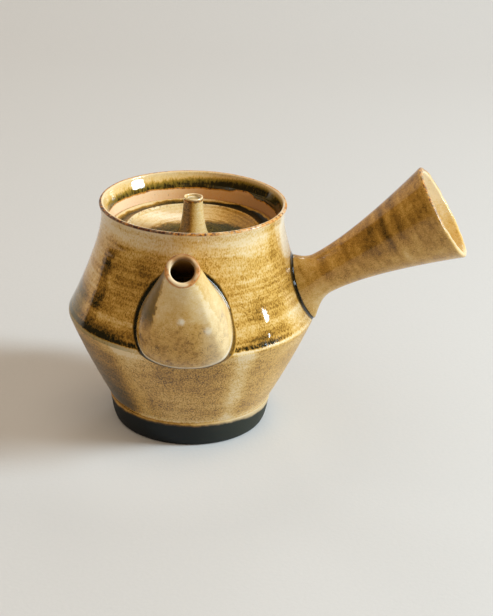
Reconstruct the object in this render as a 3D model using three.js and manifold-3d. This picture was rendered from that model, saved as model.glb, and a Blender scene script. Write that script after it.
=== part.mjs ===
// Kyusu: a small side-handled teapot of thrown and luted stoneware, with its lid, strainer and hollow handle.
// Millimetres, +Z up. The origin is the centre of the foot's flat underside.
// The spout points to -Y, and the handle leans out to +X.

import * as THREE from 'three';
import { mergeVertices } from 'three/addons/utils/BufferGeometryUtils.js';
import Module from 'manifold-3d';

const wasm = await Module();
wasm.setup();

// Pot: heights above the table and outside radii
const RIM_HEIGHT = 94;
const RIM_FLARE = 0.8;
const LIP_THICKNESS = 1.8;
const THROAT_DROP = 6;
const THROAT_RADIUS = 36.75;
const SHOULDER_HEIGHT = 47.6;
const SHOULDER_RADIUS = 50;
const RIDGE_HEIGHT = 1.8;
const RIDGE_STEP = 0.4;
const LOWER_BULGE = 1.4;
const WALL = 3.2;

// Foot: the bare clay floor and the band below the glaze
const FOOT_HEIGHT = 10.9;
const FOOT_RADIUS = 33.2;
const FOOT_TAPER = 3.7;
const FOOT_LEDGE = 0.5;
const FLOOR = 4.5;
const FLOOR_CORNER = 9;

// Lid seat: a bare ledge inside the straight collar below the rim
const SEAT_DROP = 14;
const SEAT_WIDTH = 4.5;
const SEAT_THICKNESS = 3.4;
const COLLAR_WALL = 2.85;
const COLLAR_HEIGHT = 6;
const COLLAR_TAPER = 5;

// Lid: a sunk dish with a dark channel, a bead, and a locating flange below
const LID_CLEARANCE = 0.7;
const LID_THICKNESS = 2.9;
const LID_EDGE_ROUND = 0.6;
const LID_DISH = 3.5;
const LID_CHANNEL = 0.9;
const LID_BEAD = 1.6;
const FLANGE_DEPTH = 8;
const FLANGE_WALL = 2.4;
const FLANGE_CLEARANCE = 0.6;
const VENT_RADIUS = 1.4;
const VENT_OFFSET = 17;

// Knob: a slim stem with a dished top
const KNOB_HEIGHT = 16.3;
const KNOB_FOOT_RADIUS = 6.5;
const KNOB_STEM_RADIUS = 3.9;
const KNOB_ROLL = 0.2;
const KNOB_LIP = 0.9;
const KNOB_DISH = 1.1;

// Strainer: a pierced dome over the opening behind the spout
const STRAINER_RADIUS = 14.5;
const STRAINER_DEPTH = 10;
const STRAINER_WALL = 2.2;
const STRAINER_DROP = 2.4;
const STRAINER_BORDER = 2.6;
const HOLE_RADIUS = 0.85;
const HOLE_PITCH = 3;
const OPENING_BORDER = 1;

// Spout: its seat on the wall, and its round mouth
const SPOUT_SEAT_HALF_WIDTH = 17.8;
const SPOUT_SEAT_HALF_HEIGHT = 18.3;
const SPOUT_SEAT_RISE = 1.5;
const SPOUT_WALL = 3.2;
const SPOUT_EDGE_ROUND = 0.9;
const SPOUT_REACH = 11;
const SPOUT_MOUTH_DROP = 5.3;
const SPOUT_MOUTH_RADIUS = 6.6;
const SPOUT_LIP = 2.1;
const SPOUT_SEAT_LEAN = THREE.MathUtils.degToRad(18);
const SPOUT_MOUTH_LEAN = THREE.MathUtils.degToRad(38);

// Handle: its seat on the wall, its neck, and its open trumpet end
const HANDLE_SEAT_HALF_WIDTH = 10;
const HANDLE_SEAT_HALF_HEIGHT = 13;
const HANDLE_SEAT_RISE = 11.9;
const HANDLE_AXIS_RISE = 1.3;
const HANDLE_WALL = 2.6;
const HANDLE_EDGE_ROUND = 0.7;
const HANDLE_NECK_AT = 10;
const HANDLE_NECK_RADIUS = 8.5;
const HANDLE_LENGTH = 65.3;
const HANDLE_END_RADIUS = 20;
const HANDLE_SEAT_LEAN = THREE.MathUtils.degToRad(18);
const HANDLE_LEAN = THREE.MathUtils.degToRad(31.7);
const HANDLE_AZIMUTH = THREE.MathUtils.degToRad(-2.3);
const SPOUT_AZIMUTH = THREE.MathUtils.degToRad(-90);

// Gap left between fired pieces that touch, how far a cutter runs past its work, and the weld distance
const GAP = 0.3;
const OVERRUN = 6;
const WELD = 0.0001;

// Shares that give the curves their bow, as parts of the span that each one crosses
const UPPER_WALL_shares = { leanIn: 0.47, leanUp: 0.34, throat: 0.79 };
const FOOT_SIDE_shares = { lowOut: 0.57, lowUp: 0.04, highOut: 0.73, highUp: 0.43 };
const KNOB_shares = { waistIn: 0.73, waistUp: 0.24, stemIn: 0.96, stemUp: 0.65, stemTop: 0.92 };
const SPOUT_SEAT_EGG_share = 0.24;
const SPOUT_CORNER_shares = { right: 0.8, left: 0.93 };
const SPOUT_BELLY_share = 0.42;
const SPOUT_NECK_share = 0.2;
const HANDLE_FLARE_share = 0.1;
const HANDLE_NECK_share = 0.5;
const HANDLE_TRUMPET_share = 0.33;

// Facets: sides round each turned piece, and the length of a facet along a curve
const POT_SIDES = 48;
const KNOB_SIDES = 24;
const STRAINER_SIDES = 24;
const TUBE_SIDES = 28;
const HOLE_SIDES = 6;
const TUBE_STEPS = 5;
const DOME_STEPS = 5;
const FACET_LENGTH = 10;

// Sizes worked out from the ones above
const throatHeight = RIM_HEIGHT - THROAT_DROP;
const rimRadius = THROAT_RADIUS + RIM_FLARE;
const wallFootRadius = FOOT_RADIUS - FOOT_LEDGE;
const collarRadius = THROAT_RADIUS - COLLAR_WALL;
const seatHeight = RIM_HEIGHT - SEAT_DROP;
const seatUnderside = seatHeight - SEAT_THICKNESS;
const seatOpening = collarRadius - SEAT_WIDTH;
const lidRadius = collarRadius - LID_CLEARANCE;
const lidUnderside = seatHeight + GAP;
const lidTop = lidUnderside + LID_THICKNESS;
const lidCentre = lidTop - LID_DISH;
const flangeRadius = seatOpening - FLANGE_CLEARANCE;
const flangeBore = flangeRadius - FLANGE_WALL;
const strainerHeight = seatUnderside - STRAINER_DROP - STRAINER_RADIUS;
const openingRadius = STRAINER_RADIUS - STRAINER_WALL - OPENING_BORDER;
const handleSeatHeight = SHOULDER_HEIGHT + HANDLE_SEAT_RISE;

const lerp = THREE.MathUtils.lerp;
const glazed = (colour) => new THREE.MeshStandardMaterial({ color: colour, roughness: 0.22, metalness: 0 });
const bareClay = (colour) => new THREE.MeshStandardMaterial({ color: colour, roughness: 0.85, metalness: 0 });

// Welds a shape's corners, and drops the faces that have no area on the axis
function welded(shape) {
  shape.deleteAttribute('normal');
  shape.deleteAttribute('uv');
  const joined = mergeVertices(shape, WELD);
  const corners = joined.index.array;
  const kept = [];
  for (let i = 0; i < corners.length; i += 3) {
    const [a, b, c] = corners.slice(i, i + 3);
    if (a !== b && b !== c && c !== a) {
      kept.push(a, b, c);
    }
  }
  joined.setIndex(kept);
  return joined;
}

// The points along a path: a long curve gets a facet every so often, and a small rounding gets two
function pointsOf(path) {
  const points = [path.curves[0].getPoint(0)];
  for (const curve of path.curves) {
    const facets = Math.max(2, Math.round(curve.getLength() / FACET_LENGTH));
    points.push(...curve.getPoints(curve.isLineCurve ? 1 : facets).slice(1));
  }
  return points;
}

// Turns an outline of radius and height about the Z axis; it runs up the outside and back down the inside
function turned(outline, sides = POT_SIDES) {
  return welded(new THREE.LatheGeometry(outline, sides).rotateX(Math.PI / 2));
}

function solid(shape) {
  const position = shape.getAttribute('position').array;
  return new wasm.Manifold(new wasm.Mesh({
    numProp: 3,
    vertProperties: new Float32Array(position),
    triVerts: new Uint32Array(shape.index.array),
  }));
}

function shapeOf(body) {
  const mesh = body.getMesh();
  const shape = new THREE.BufferGeometry();
  shape.setAttribute('position', new THREE.BufferAttribute(new Float32Array(mesh.vertProperties), 3));
  shape.setIndex(Array.from(mesh.triVerts));
  return shape;
}

function piece(name, shape, material) {
  shape.computeVertexNormals();
  const mesh = new THREE.Mesh(shape, material);
  mesh.name = name;
  return mesh;
}

// The pot's outside from the foot to the throat, moved out by the offset
function outerWall(offset) {
  const wall = new THREE.Path();
  const ridgeRadius = SHOULDER_RADIUS - RIDGE_STEP / 2;
  const upperFoot = SHOULDER_RADIUS - 2 * RIDGE_STEP;
  const upperStart = SHOULDER_HEIGHT + RIDGE_HEIGHT;
  wall.moveTo(wallFootRadius, FOOT_HEIGHT);
  wall.quadraticCurveTo(
    (wallFootRadius + SHOULDER_RADIUS) / 2 + LOWER_BULGE, (FOOT_HEIGHT + SHOULDER_HEIGHT) / 2,
    ridgeRadius, SHOULDER_HEIGHT - RIDGE_HEIGHT / 2,
  );
  wall.quadraticCurveTo(
    SHOULDER_RADIUS + RIDGE_STEP / 2, SHOULDER_HEIGHT,
    ridgeRadius, SHOULDER_HEIGHT + RIDGE_HEIGHT / 2,
  );
  wall.lineTo(upperFoot, upperStart);
  wall.bezierCurveTo(
    lerp(upperFoot, THROAT_RADIUS, UPPER_WALL_shares.leanIn),
    lerp(upperStart, throatHeight, UPPER_WALL_shares.leanUp),
    THROAT_RADIUS,
    lerp(upperStart, throatHeight, UPPER_WALL_shares.throat),
    THROAT_RADIUS, throatHeight,
  );
  return pointsOf(wall).map((point) => new THREE.Vector2(point.x + offset, point.y));
}

// The rim: the flare, the rounded lip, and the inside down to the collar's straight bore
function rimOutline() {
  const rim = new THREE.Path();
  const lipSide = RIM_HEIGHT - LIP_THICKNESS / 2;
  const lipMiddle = rimRadius - LIP_THICKNESS / 2;
  const lipInside = rimRadius - LIP_THICKNESS;
  const boreTop = seatHeight + COLLAR_HEIGHT;
  rim.moveTo(THROAT_RADIUS, throatHeight);
  rim.quadraticCurveTo(THROAT_RADIUS, (throatHeight + lipSide) / 2, rimRadius, lipSide);
  rim.quadraticCurveTo(rimRadius, RIM_HEIGHT, lipMiddle, RIM_HEIGHT);
  rim.quadraticCurveTo(lipInside, RIM_HEIGHT, lipInside, lipSide);
  rim.quadraticCurveTo(collarRadius, (lipSide + boreTop) / 2, collarRadius, boreTop);
  return pointsOf(rim);
}

// The inside of the wall from below the collar down to the foot, moved in by the offset
function innerWall(offset) {
  const top = seatUnderside - COLLAR_TAPER;
  const below = outerWall(-WALL - offset).filter((point) => point.y < top);
  return [new THREE.Vector2(wallRadius(top) - WALL - offset, top), ...below.reverse()];
}

// The outside radius of the wall at a height, read from its outline
function wallRadius(height) {
  const outline = [...outerWall(0), ...rimOutline().slice(1)];
  const above = outline.findIndex((point) => point.y >= height);
  const high = outline[above];
  const low = outline[above - 1];
  return lerp(low.x, high.x, (height - low.y) / (high.y - low.y));
}

// Everything inside the pot's outside skin, which cuts the seats of the spout and the handle
function potSkin() {
  const wall = outerWall(GAP);
  const floor = new THREE.Vector2(0, FOOT_HEIGHT);
  const top = new THREE.Vector2(THROAT_RADIUS + GAP, RIM_HEIGHT + OVERRUN);
  return solid(turned([floor, ...wall, top, new THREE.Vector2(0, RIM_HEIGHT + OVERRUN)]));
}

// The tea space below the lid seat, which trims the strainer to the inside of the wall
function teaSpace() {
  const floor = new THREE.Vector2(0, FOOT_HEIGHT);
  const collarFoot = new THREE.Vector2(collarRadius - GAP, seatUnderside - GAP);
  return solid(turned([floor, ...innerWall(GAP).reverse(), collarFoot, new THREE.Vector2(0, collarFoot.y)]));
}

// The way out of the wall at an azimuth, leaning up
function wayOut(azimuth, lean) {
  return new THREE.Vector3(
    Math.cos(lean) * Math.cos(azimuth), Math.cos(lean) * Math.sin(azimuth), Math.sin(lean),
  );
}

// Turns the Y axis of a shape into a direction, and moves its origin to a place
function aimed(shape, place, direction) {
  const turn = new THREE.Quaternion().setFromUnitVectors(new THREE.Vector3(0, 1, 0), direction);
  return shape.applyQuaternion(turn).translate(place.x, place.y, place.z);
}

function rod(radius, length, sides, place, direction) {
  return solid(aimed(welded(new THREE.CylinderGeometry(radius, radius, length, sides)), place, direction));
}

// The strainer's place: the middle of its rim on the inside of the wall, and its outward direction
function strainerPlace() {
  const radius = wallRadius(strainerHeight) - WALL;
  const middle = new THREE.Vector3(0, -radius, strainerHeight);
  return { middle, out: wayOut(SPOUT_AZIMUTH, SPOUT_SEAT_LEAN) };
}

// Pot body: the glazed wall with its shoulder ridge, flared rim and straight collar, open behind the spout
function makeBody() {
  const collarFoot = new THREE.Vector2(collarRadius, seatUnderside - GAP);
  const outline = [...outerWall(0), ...rimOutline().slice(1), collarFoot, ...innerWall(0)];
  const wall = solid(turned([...outline, outline[0]]));
  const { middle, out } = strainerPlace();
  const hole = rod(openingRadius, 4 * OVERRUN, STRAINER_SIDES, middle, out);
  return piece('pot_body', shapeOf(wall.subtract(hole)), glazed(0xa8843c));
}

// Foot: floor and band in one, tapered in to the table, with a shadow ledge below the glazed wall
function makeFoot() {
  const faceRadius = FOOT_RADIUS - FOOT_TAPER;
  const boreRadius = wallFootRadius - WALL;
  const side = new THREE.Path();
  side.moveTo(0, 0);
  side.lineTo(faceRadius, 0);
  side.bezierCurveTo(
    lerp(faceRadius, FOOT_RADIUS, FOOT_SIDE_shares.lowOut), FOOT_HEIGHT * FOOT_SIDE_shares.lowUp,
    lerp(faceRadius, FOOT_RADIUS, FOOT_SIDE_shares.highOut), FOOT_HEIGHT * FOOT_SIDE_shares.highUp,
    FOOT_RADIUS, FOOT_HEIGHT - FOOT_LEDGE,
  );
  side.quadraticCurveTo(FOOT_RADIUS, FOOT_HEIGHT, wallFootRadius, FOOT_HEIGHT);
  side.lineTo(boreRadius, FOOT_HEIGHT);
  side.quadraticCurveTo(boreRadius - (FOOT_HEIGHT - FLOOR) / 2, FLOOR, boreRadius - FLOOR_CORNER, FLOOR);
  side.lineTo(0, FLOOR);
  return piece('foot', turned(pointsOf(side)), bareClay(0x2f3230));
}

// Lid seat: the bare ring that carries the lid, with its inner edge rounded
function makeLidSeat() {
  const ring = new THREE.Path();
  const round = SEAT_THICKNESS / 2;
  ring.moveTo(seatOpening + round, seatUnderside);
  ring.lineTo(collarRadius - GAP, seatUnderside);
  ring.lineTo(collarRadius - GAP, seatHeight);
  ring.lineTo(seatOpening + round / 2, seatHeight);
  ring.quadraticCurveTo(seatOpening, seatHeight, seatOpening, seatHeight - round / 2);
  ring.quadraticCurveTo(seatOpening, seatUnderside, seatOpening + round, seatUnderside);
  return piece('lid_seat', turned(pointsOf(ring)), bareClay(0xc99a72));
}

// Lid: raised edge, pooled channel, bead, and a dish that falls to a flat under the knob
function makeLid() {
  const dish = new THREE.Path();
  const edge = lidRadius - LID_EDGE_ROUND;
  const beadOuter = flangeBore + LID_BEAD / 2;
  const beadInner = flangeBore - LID_BEAD / 2;
  const channel = lidTop - LID_CHANNEL;
  dish.moveTo(0, lidCentre - LID_THICKNESS);
  dish.lineTo(KNOB_FOOT_RADIUS, lidCentre - LID_THICKNESS);
  dish.quadraticCurveTo(beadInner, lidCentre - LID_THICKNESS, flangeBore, lidUnderside);
  dish.lineTo(edge, lidUnderside);
  dish.quadraticCurveTo(lidRadius, lidUnderside, lidRadius, lidUnderside + LID_EDGE_ROUND);
  dish.lineTo(lidRadius, lidTop - LID_EDGE_ROUND);
  dish.quadraticCurveTo(lidRadius, lidTop, edge, lidTop);
  dish.quadraticCurveTo((edge + beadOuter) / 2, channel - LID_CHANNEL, beadOuter, channel);
  dish.quadraticCurveTo(flangeBore, lidTop + LID_CHANNEL, beadInner, channel);
  dish.quadraticCurveTo((beadInner + KNOB_FOOT_RADIUS) / 2, lidCentre, KNOB_FOOT_RADIUS, lidCentre);
  dish.lineTo(0, lidCentre);
  const plate = solid(turned(pointsOf(dish)));
  const place = new THREE.Vector3(0, -VENT_OFFSET, lidCentre);
  const vent = rod(VENT_RADIUS, 4 * LID_THICKNESS, HOLE_SIDES, place, new THREE.Vector3(0, 0, 1));
  return piece('lid_plate', shapeOf(plate.subtract(vent)), glazed(0xc2a263));
}

// Lid flange: the skirt that keeps the lid in the pot while it pours
function makeLidFlange() {
  const skirt = new THREE.Path();
  const bottom = lidUnderside - FLANGE_DEPTH;
  const round = FLANGE_WALL / 2;
  const middle = flangeRadius - round;
  skirt.moveTo(middle, bottom);
  skirt.quadraticCurveTo(flangeRadius, bottom, flangeRadius, bottom + round);
  skirt.lineTo(flangeRadius, lidUnderside);
  skirt.lineTo(flangeBore, lidUnderside);
  skirt.lineTo(flangeBore, bottom + round);
  skirt.quadraticCurveTo(flangeBore, bottom, middle, bottom);
  return piece('lid_flange', turned(pointsOf(skirt)), bareClay(0xc99a72));
}

// Knob: a waisted stem that widens into the lid, with a rolled rim round its dished top
function makeKnob() {
  const stem = new THREE.Path();
  const top = lidCentre + KNOB_HEIGHT;
  const stemTop = lidCentre + KNOB_HEIGHT * KNOB_shares.stemTop;
  const rim = KNOB_STEM_RADIUS + KNOB_ROLL;
  stem.moveTo(0, lidCentre);
  stem.lineTo(KNOB_FOOT_RADIUS, lidCentre);
  stem.bezierCurveTo(
    lerp(KNOB_FOOT_RADIUS, KNOB_STEM_RADIUS, KNOB_shares.waistIn), lidCentre + KNOB_HEIGHT * KNOB_shares.waistUp,
    lerp(KNOB_FOOT_RADIUS, KNOB_STEM_RADIUS, KNOB_shares.stemIn), lidCentre + KNOB_HEIGHT * KNOB_shares.stemUp,
    KNOB_STEM_RADIUS, stemTop,
  );
  stem.quadraticCurveTo(rim, top, rim - KNOB_LIP / 2, top);
  stem.quadraticCurveTo(rim - KNOB_LIP, top, rim - KNOB_LIP, top - KNOB_DISH / 2);
  stem.quadraticCurveTo(rim - KNOB_LIP, top - KNOB_DISH, 0, top - KNOB_DISH);
  return piece('lid_knob', turned(pointsOf(stem), KNOB_SIDES), glazed(0xb08a4a));
}

// Strainer: a thin dome with rings of round holes, each drilled square to the dome
function makeStrainer() {
  const dome = (STRAINER_RADIUS ** 2 + STRAINER_DEPTH ** 2) / (2 * STRAINER_DEPTH);
  const domeDrop = dome - STRAINER_DEPTH;
  const rimAngle = Math.asin(STRAINER_RADIUS / dome);
  const inner = dome - STRAINER_WALL;
  const innerAngle = Math.acos(domeDrop / inner);
  const arc = (radius, angle) => new THREE.Vector2(radius * Math.sin(angle), radius * Math.cos(angle) - domeDrop);
  const outline = [];
  for (let i = 0; i < DOME_STEPS; i += 1) {
    outline.push(arc(inner, innerAngle * (i / DOME_STEPS)));
  }
  const bore = inner * Math.sin(innerAngle);
  outline.push(new THREE.Vector2(bore, 0), new THREE.Vector2(bore, -OVERRUN));
  outline.push(new THREE.Vector2(STRAINER_RADIUS, -OVERRUN));
  for (let i = DOME_STEPS; i >= 0; i -= 1) {
    outline.push(arc(dome, rimAngle * (i / DOME_STEPS)));
  }
  const { middle, out } = strainerPlace();
  const inward = out.clone().negate();
  const shell = welded(new THREE.LatheGeometry(outline, STRAINER_SIDES));
  let strainer = solid(aimed(shell, middle, inward)).intersect(teaSpace());

  const centre = middle.clone().addScaledVector(out, domeDrop);
  const turn = new THREE.Quaternion().setFromUnitVectors(new THREE.Vector3(0, 1, 0), inward);
  const sag = wallRadius(strainerHeight) - Math.sqrt(wallRadius(strainerHeight) ** 2 - STRAINER_RADIUS ** 2);
  const lastAngle = Math.acos((domeDrop + sag + STRAINER_BORDER) / dome);
  const pitchAngle = HOLE_PITCH / dome;
  const rings = Math.floor(lastAngle / pitchAngle);
  for (let ring = 0; ring <= rings; ring += 1) {
    const angle = ring * pitchAngle;
    const count = ring === 0 ? 1 : 6 * ring;
    for (let i = 0; i < count; i += 1) {
      const around = 2 * Math.PI * (i / count);
      const direction = new THREE.Vector3(
        Math.sin(angle) * Math.cos(around), Math.cos(angle), Math.sin(angle) * Math.sin(around),
      ).applyQuaternion(turn);
      const place = centre.clone().addScaledVector(direction, dome);
      strainer = strainer.subtract(rod(HOLE_RADIUS, 4 * STRAINER_WALL, HOLE_SIDES, place, direction));
    }
  }
  return piece('strainer', shapeOf(strainer), bareClay(0xb58a5c));
}

const squared = (value, power) => Math.sign(value) * Math.abs(value) ** power;

// A ring of points on the wall round a seat: an ellipse across and up, made narrower towards its top and
// squarer at its lower corners
function seatRing(seat, inset) {
  const ring = [];
  for (let i = 0; i < TUBE_SIDES; i += 1) {
    const around = 2 * Math.PI * (i / TUBE_SIDES);
    const lower = Math.cos(around) > 0 ? seat.corners.right : seat.corners.left;
    const corner = Math.sin(around) > 0 ? 1 : lower;
    const rise = squared(Math.sin(around), corner);
    const run = squared(Math.cos(around), corner);
    const height = seat.height + (seat.halfHeight - inset) * rise;
    const across = (seat.halfWidth - inset) * run * (1 - seat.egg * rise);
    const radius = wallRadius(height);
    const turn = seat.azimuth + Math.asin(across / radius);
    ring.push(new THREE.Vector3(radius * Math.cos(turn), radius * Math.sin(turn), height));
  }
  return ring;
}

// A round ring of points square to a direction, which starts level with the seat ring's first point
function roundRing(centre, direction, azimuth, radius) {
  const across = new THREE.Vector3(-Math.sin(azimuth), Math.cos(azimuth), 0);
  const up = direction.clone().cross(across);
  const ring = [];
  for (let i = 0; i < TUBE_SIDES; i += 1) {
    const around = 2 * Math.PI * (i / TUBE_SIDES);
    ring.push(centre.clone()
      .addScaledVector(across, radius * Math.cos(around))
      .addScaledVector(up, radius * Math.sin(around)));
  }
  return ring;
}

// Rings that bend from one ring to another, leaving and arriving along two directions
function bentRings(start, startWay, startShare, end, endWay, endShare) {
  const rings = [];
  for (let step = 0; step <= TUBE_STEPS; step += 1) {
    rings.push(start.map((point, i) => {
      const span = point.distanceTo(end[i]);
      const leaving = point.clone().addScaledVector(startWay, span * startShare);
      const arriving = end[i].clone().addScaledVector(endWay, -span * endShare);
      return new THREE.CubicBezierCurve3(point, leaving, arriving, end[i]).getPoint(step / TUBE_STEPS);
    }));
  }
  return rings;
}

const shifted = (ring, way, distance) => ring.map((point) => point.clone().addScaledVector(way, distance));

// Closes a skin over a loop of rings, the last joined back to the first
function skin(rings) {
  const corners = [];
  for (let r = 0; r < rings.length; r += 1) {
    const next = (r + 1) % rings.length;
    for (let i = 0; i < TUBE_SIDES; i += 1) {
      const j = (i + 1) % TUBE_SIDES;
      const [a, b] = [r * TUBE_SIDES + i, r * TUBE_SIDES + j];
      const [c, d] = [next * TUBE_SIDES + j, next * TUBE_SIDES + i];
      corners.push(a, b, c, a, c, d);
    }
  }
  const shape = new THREE.BufferGeometry().setFromPoints(rings.flat());
  shape.setIndex(corners);
  return shape;
}

// Spout: full at its seat and drawn in to a round mouth, with a rounded edge where it meets the wall
function makeSpout() {
  const seat = {
    azimuth: SPOUT_AZIMUTH,
    height: strainerHeight + SPOUT_SEAT_RISE,
    halfWidth: SPOUT_SEAT_HALF_WIDTH,
    halfHeight: SPOUT_SEAT_HALF_HEIGHT,
    egg: SPOUT_SEAT_EGG_share,
    corners: SPOUT_CORNER_shares,
  };
  const out = wayOut(SPOUT_AZIMUTH, SPOUT_SEAT_LEAN);
  const pour = wayOut(SPOUT_AZIMUTH, SPOUT_MOUTH_LEAN);
  const mouth = new THREE.Vector3(0, -SHOULDER_RADIUS - SPOUT_REACH, RIM_HEIGHT - SPOUT_MOUTH_DROP);
  const mouthRing = (radius) => roundRing(mouth, pour, SPOUT_AZIMUTH, radius);
  const bore = SPOUT_MOUTH_RADIUS - SPOUT_LIP;
  const outside = bentRings(
    shifted(seatRing(seat, 0), out, SPOUT_EDGE_ROUND), out, SPOUT_BELLY_share,
    shifted(mouthRing(SPOUT_MOUTH_RADIUS), pour, -SPOUT_LIP / 2), pour, SPOUT_NECK_share,
  );
  const inside = bentRings(
    seatRing(seat, SPOUT_WALL), out, SPOUT_BELLY_share,
    shifted(mouthRing(bore), pour, -SPOUT_LIP / 2), pour, SPOUT_NECK_share,
  );
  const edge = seatRing(seat, SPOUT_EDGE_ROUND);
  const lip = mouthRing(SPOUT_MOUTH_RADIUS - SPOUT_LIP / 2);
  const rings = [
    shifted(edge, out, -OVERRUN), edge, ...outside, lip, ...inside.reverse(),
    shifted(seatRing(seat, SPOUT_WALL), out, -OVERRUN),
  ];
  return piece('spout', shapeOf(solid(skin(rings)).subtract(potSkin())), glazed(0xb59556));
}

// Handle: flares on to the wall, narrows to a neck for the fingers, and opens as a hollow trumpet
function makeHandle() {
  const seat = {
    azimuth: HANDLE_AZIMUTH,
    height: handleSeatHeight,
    halfWidth: HANDLE_SEAT_HALF_WIDTH,
    halfHeight: HANDLE_SEAT_HALF_HEIGHT,
    egg: 0,
    corners: { right: 1, left: 1 },
  };
  const out = wayOut(HANDLE_AZIMUTH, HANDLE_SEAT_LEAN);
  const along = wayOut(HANDLE_AZIMUTH, HANDLE_LEAN);
  const rootHeight = handleSeatHeight + HANDLE_AXIS_RISE;
  const root = wayOut(HANDLE_AZIMUTH, 0).multiplyScalar(wallRadius(rootHeight)).setZ(rootHeight);
  const trumpet = new THREE.QuadraticBezierCurve(
    new THREE.Vector2(HANDLE_NECK_AT, HANDLE_NECK_RADIUS),
    new THREE.Vector2(lerp(HANDLE_NECK_AT, HANDLE_LENGTH, HANDLE_TRUMPET_share), HANDLE_NECK_RADIUS),
    new THREE.Vector2(HANDLE_LENGTH, HANDLE_END_RADIUS),
  );
  const ringAt = (distance, radius) => roundRing(
    root.clone().addScaledVector(along, distance), along, HANDLE_AZIMUTH, radius,
  );
  const trumpetRings = (inset, back) => trumpet.getPoints(TUBE_STEPS).map((point, i) => (
    ringAt(point.x - back * (i / TUBE_STEPS), point.y - inset)
  ));
  const flareRings = (start, inset) => bentRings(
    start, out, HANDLE_FLARE_share, ringAt(HANDLE_NECK_AT, HANDLE_NECK_RADIUS - inset), along, HANDLE_NECK_share,
  );
  const round = HANDLE_WALL / 2;
  const edge = seatRing(seat, HANDLE_EDGE_ROUND);
  const outside = [
    ...flareRings(shifted(seatRing(seat, 0), out, HANDLE_EDGE_ROUND), 0),
    ...trumpetRings(0, round).slice(1),
  ];
  const inside = [
    ...flareRings(seatRing(seat, HANDLE_WALL), HANDLE_WALL),
    ...trumpetRings(HANDLE_WALL, round).slice(1),
  ];
  const rings = [
    shifted(edge, out, -OVERRUN), edge, ...outside,
    ringAt(HANDLE_LENGTH, HANDLE_END_RADIUS - round),
    ...inside.reverse(),
    shifted(seatRing(seat, HANDLE_WALL), out, -OVERRUN),
  ];
  return piece('handle', shapeOf(solid(skin(rings)).subtract(potSkin())), glazed(0x8a6c34));
}

const pot = new THREE.Group();
pot.add(makeBody(), makeFoot(), makeLidSeat(), makeStrainer(), makeSpout(), makeHandle());
const lid = new THREE.Group();
lid.add(makeLid(), makeLidFlange(), makeKnob());
const kyusu = new THREE.Group();
kyusu.add(pot, lid);

export default kyusu;
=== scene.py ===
# %% [markdown]
# # A side-handled teapot in amber glaze
# The pot is a few thrown clay pieces, luted together and fired: a wall with a sharp shoulder, a dark bare
# foot, a sunken lid with a tall knob, a short spout and a hollow handle. The measured solids are loaded
# first and stay where they are. Each piece below is a finer skin on the same curves, and it rides with the
# solid that it stands for.

# %% Load the measured solids
import math

import bmesh
import bpy
import numpy as np
from mathutils import Matrix, Vector, noise


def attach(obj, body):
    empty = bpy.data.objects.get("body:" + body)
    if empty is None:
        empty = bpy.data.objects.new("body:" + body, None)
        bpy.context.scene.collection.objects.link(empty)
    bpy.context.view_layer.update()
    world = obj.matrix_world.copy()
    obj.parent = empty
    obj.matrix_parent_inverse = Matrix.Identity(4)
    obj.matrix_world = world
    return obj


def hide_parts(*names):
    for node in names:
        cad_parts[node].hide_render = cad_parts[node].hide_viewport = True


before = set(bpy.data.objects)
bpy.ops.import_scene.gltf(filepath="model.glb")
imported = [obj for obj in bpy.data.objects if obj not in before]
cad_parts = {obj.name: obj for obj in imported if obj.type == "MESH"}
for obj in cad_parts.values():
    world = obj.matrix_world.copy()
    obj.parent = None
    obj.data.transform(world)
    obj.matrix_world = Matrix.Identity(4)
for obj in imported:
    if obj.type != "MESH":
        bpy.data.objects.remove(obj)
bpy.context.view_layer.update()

MM = 0.001
print("solids:", sorted(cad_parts))

# %% [markdown]
# ## Curves
# Every outline here is a chain of Bezier runs, as a potter's profile gauge would be. Blender's curve
# objects could be spun with a Screw modifier, but plain points let the same curve also carry the seats of
# the spout and the handle. One function gives a point on a run of any order, and another walks along a
# chain of runs.

# %% Points along a chain of runs
def on_curve(controls, share):
    points = [np.asarray(control, float) for control in controls]
    while len(points) > 1:
        points = [a + (b - a) * share for a, b in zip(points, points[1:])]
    return points[0]


def trace(*runs, spacing=0.7, fewest=6):
    line = [np.asarray(runs[0][0], float)]
    for controls in runs:
        length = sum(math.dist(a, b) for a, b in zip(controls, controls[1:]))
        steps = max(fewest, round(length / spacing))
        line += [on_curve(controls, step / steps) for step in range(1, steps + 1)]
    return np.array(line)


# %% [markdown]
# ## Turned pieces
# A thrown piece is an outline turned about the pot's axis. The outline runs up the outside and back down
# the inside, so every face looks out. A real wall isn't perfect: the fingers leave a shallow spiral. It is
# a few hundredths of a millimetre deep, which is too little to see as a shape, but a glossy glaze shows it
# in its reflections.

# %% A mesh object from points in millimetres
def make_piece(name, points, faces, body, replaced, across=None):
    mesh = bpy.data.meshes.new(name)
    mesh.from_pydata([tuple(p) for p in np.asarray(points) * MM], [], faces)
    if across is not None:
        layer = mesh.uv_layers.new(name="across")
        corners = np.empty(len(mesh.loops), np.int32)
        mesh.loops.foreach_get("vertex_index", corners)
        layer.data.foreach_set("uv", np.asarray(across, np.float32)[corners].ravel())
    shape = bmesh.new()
    shape.from_mesh(mesh)
    bmesh.ops.remove_doubles(shape, verts=shape.verts, dist=1e-8)
    bmesh.ops.recalc_face_normals(shape, faces=shape.faces)
    shape.to_mesh(mesh)
    shape.free()
    mesh.shade_smooth()
    mesh.set_sharp_from_angle(angle=math.radians(50))
    piece = bpy.data.objects.new(name, mesh)
    bpy.context.scene.collection.objects.link(piece)
    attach(piece, body)
    if replaced:
        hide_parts(replaced)
    print(name, len(mesh.vertices), "corners,", len(mesh.polygons), "faces")
    return piece


# %% Turning an outline
THROW_DEPTH = 0.035
THROW_PITCH = 4.2
POT_SIDES = 240


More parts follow.
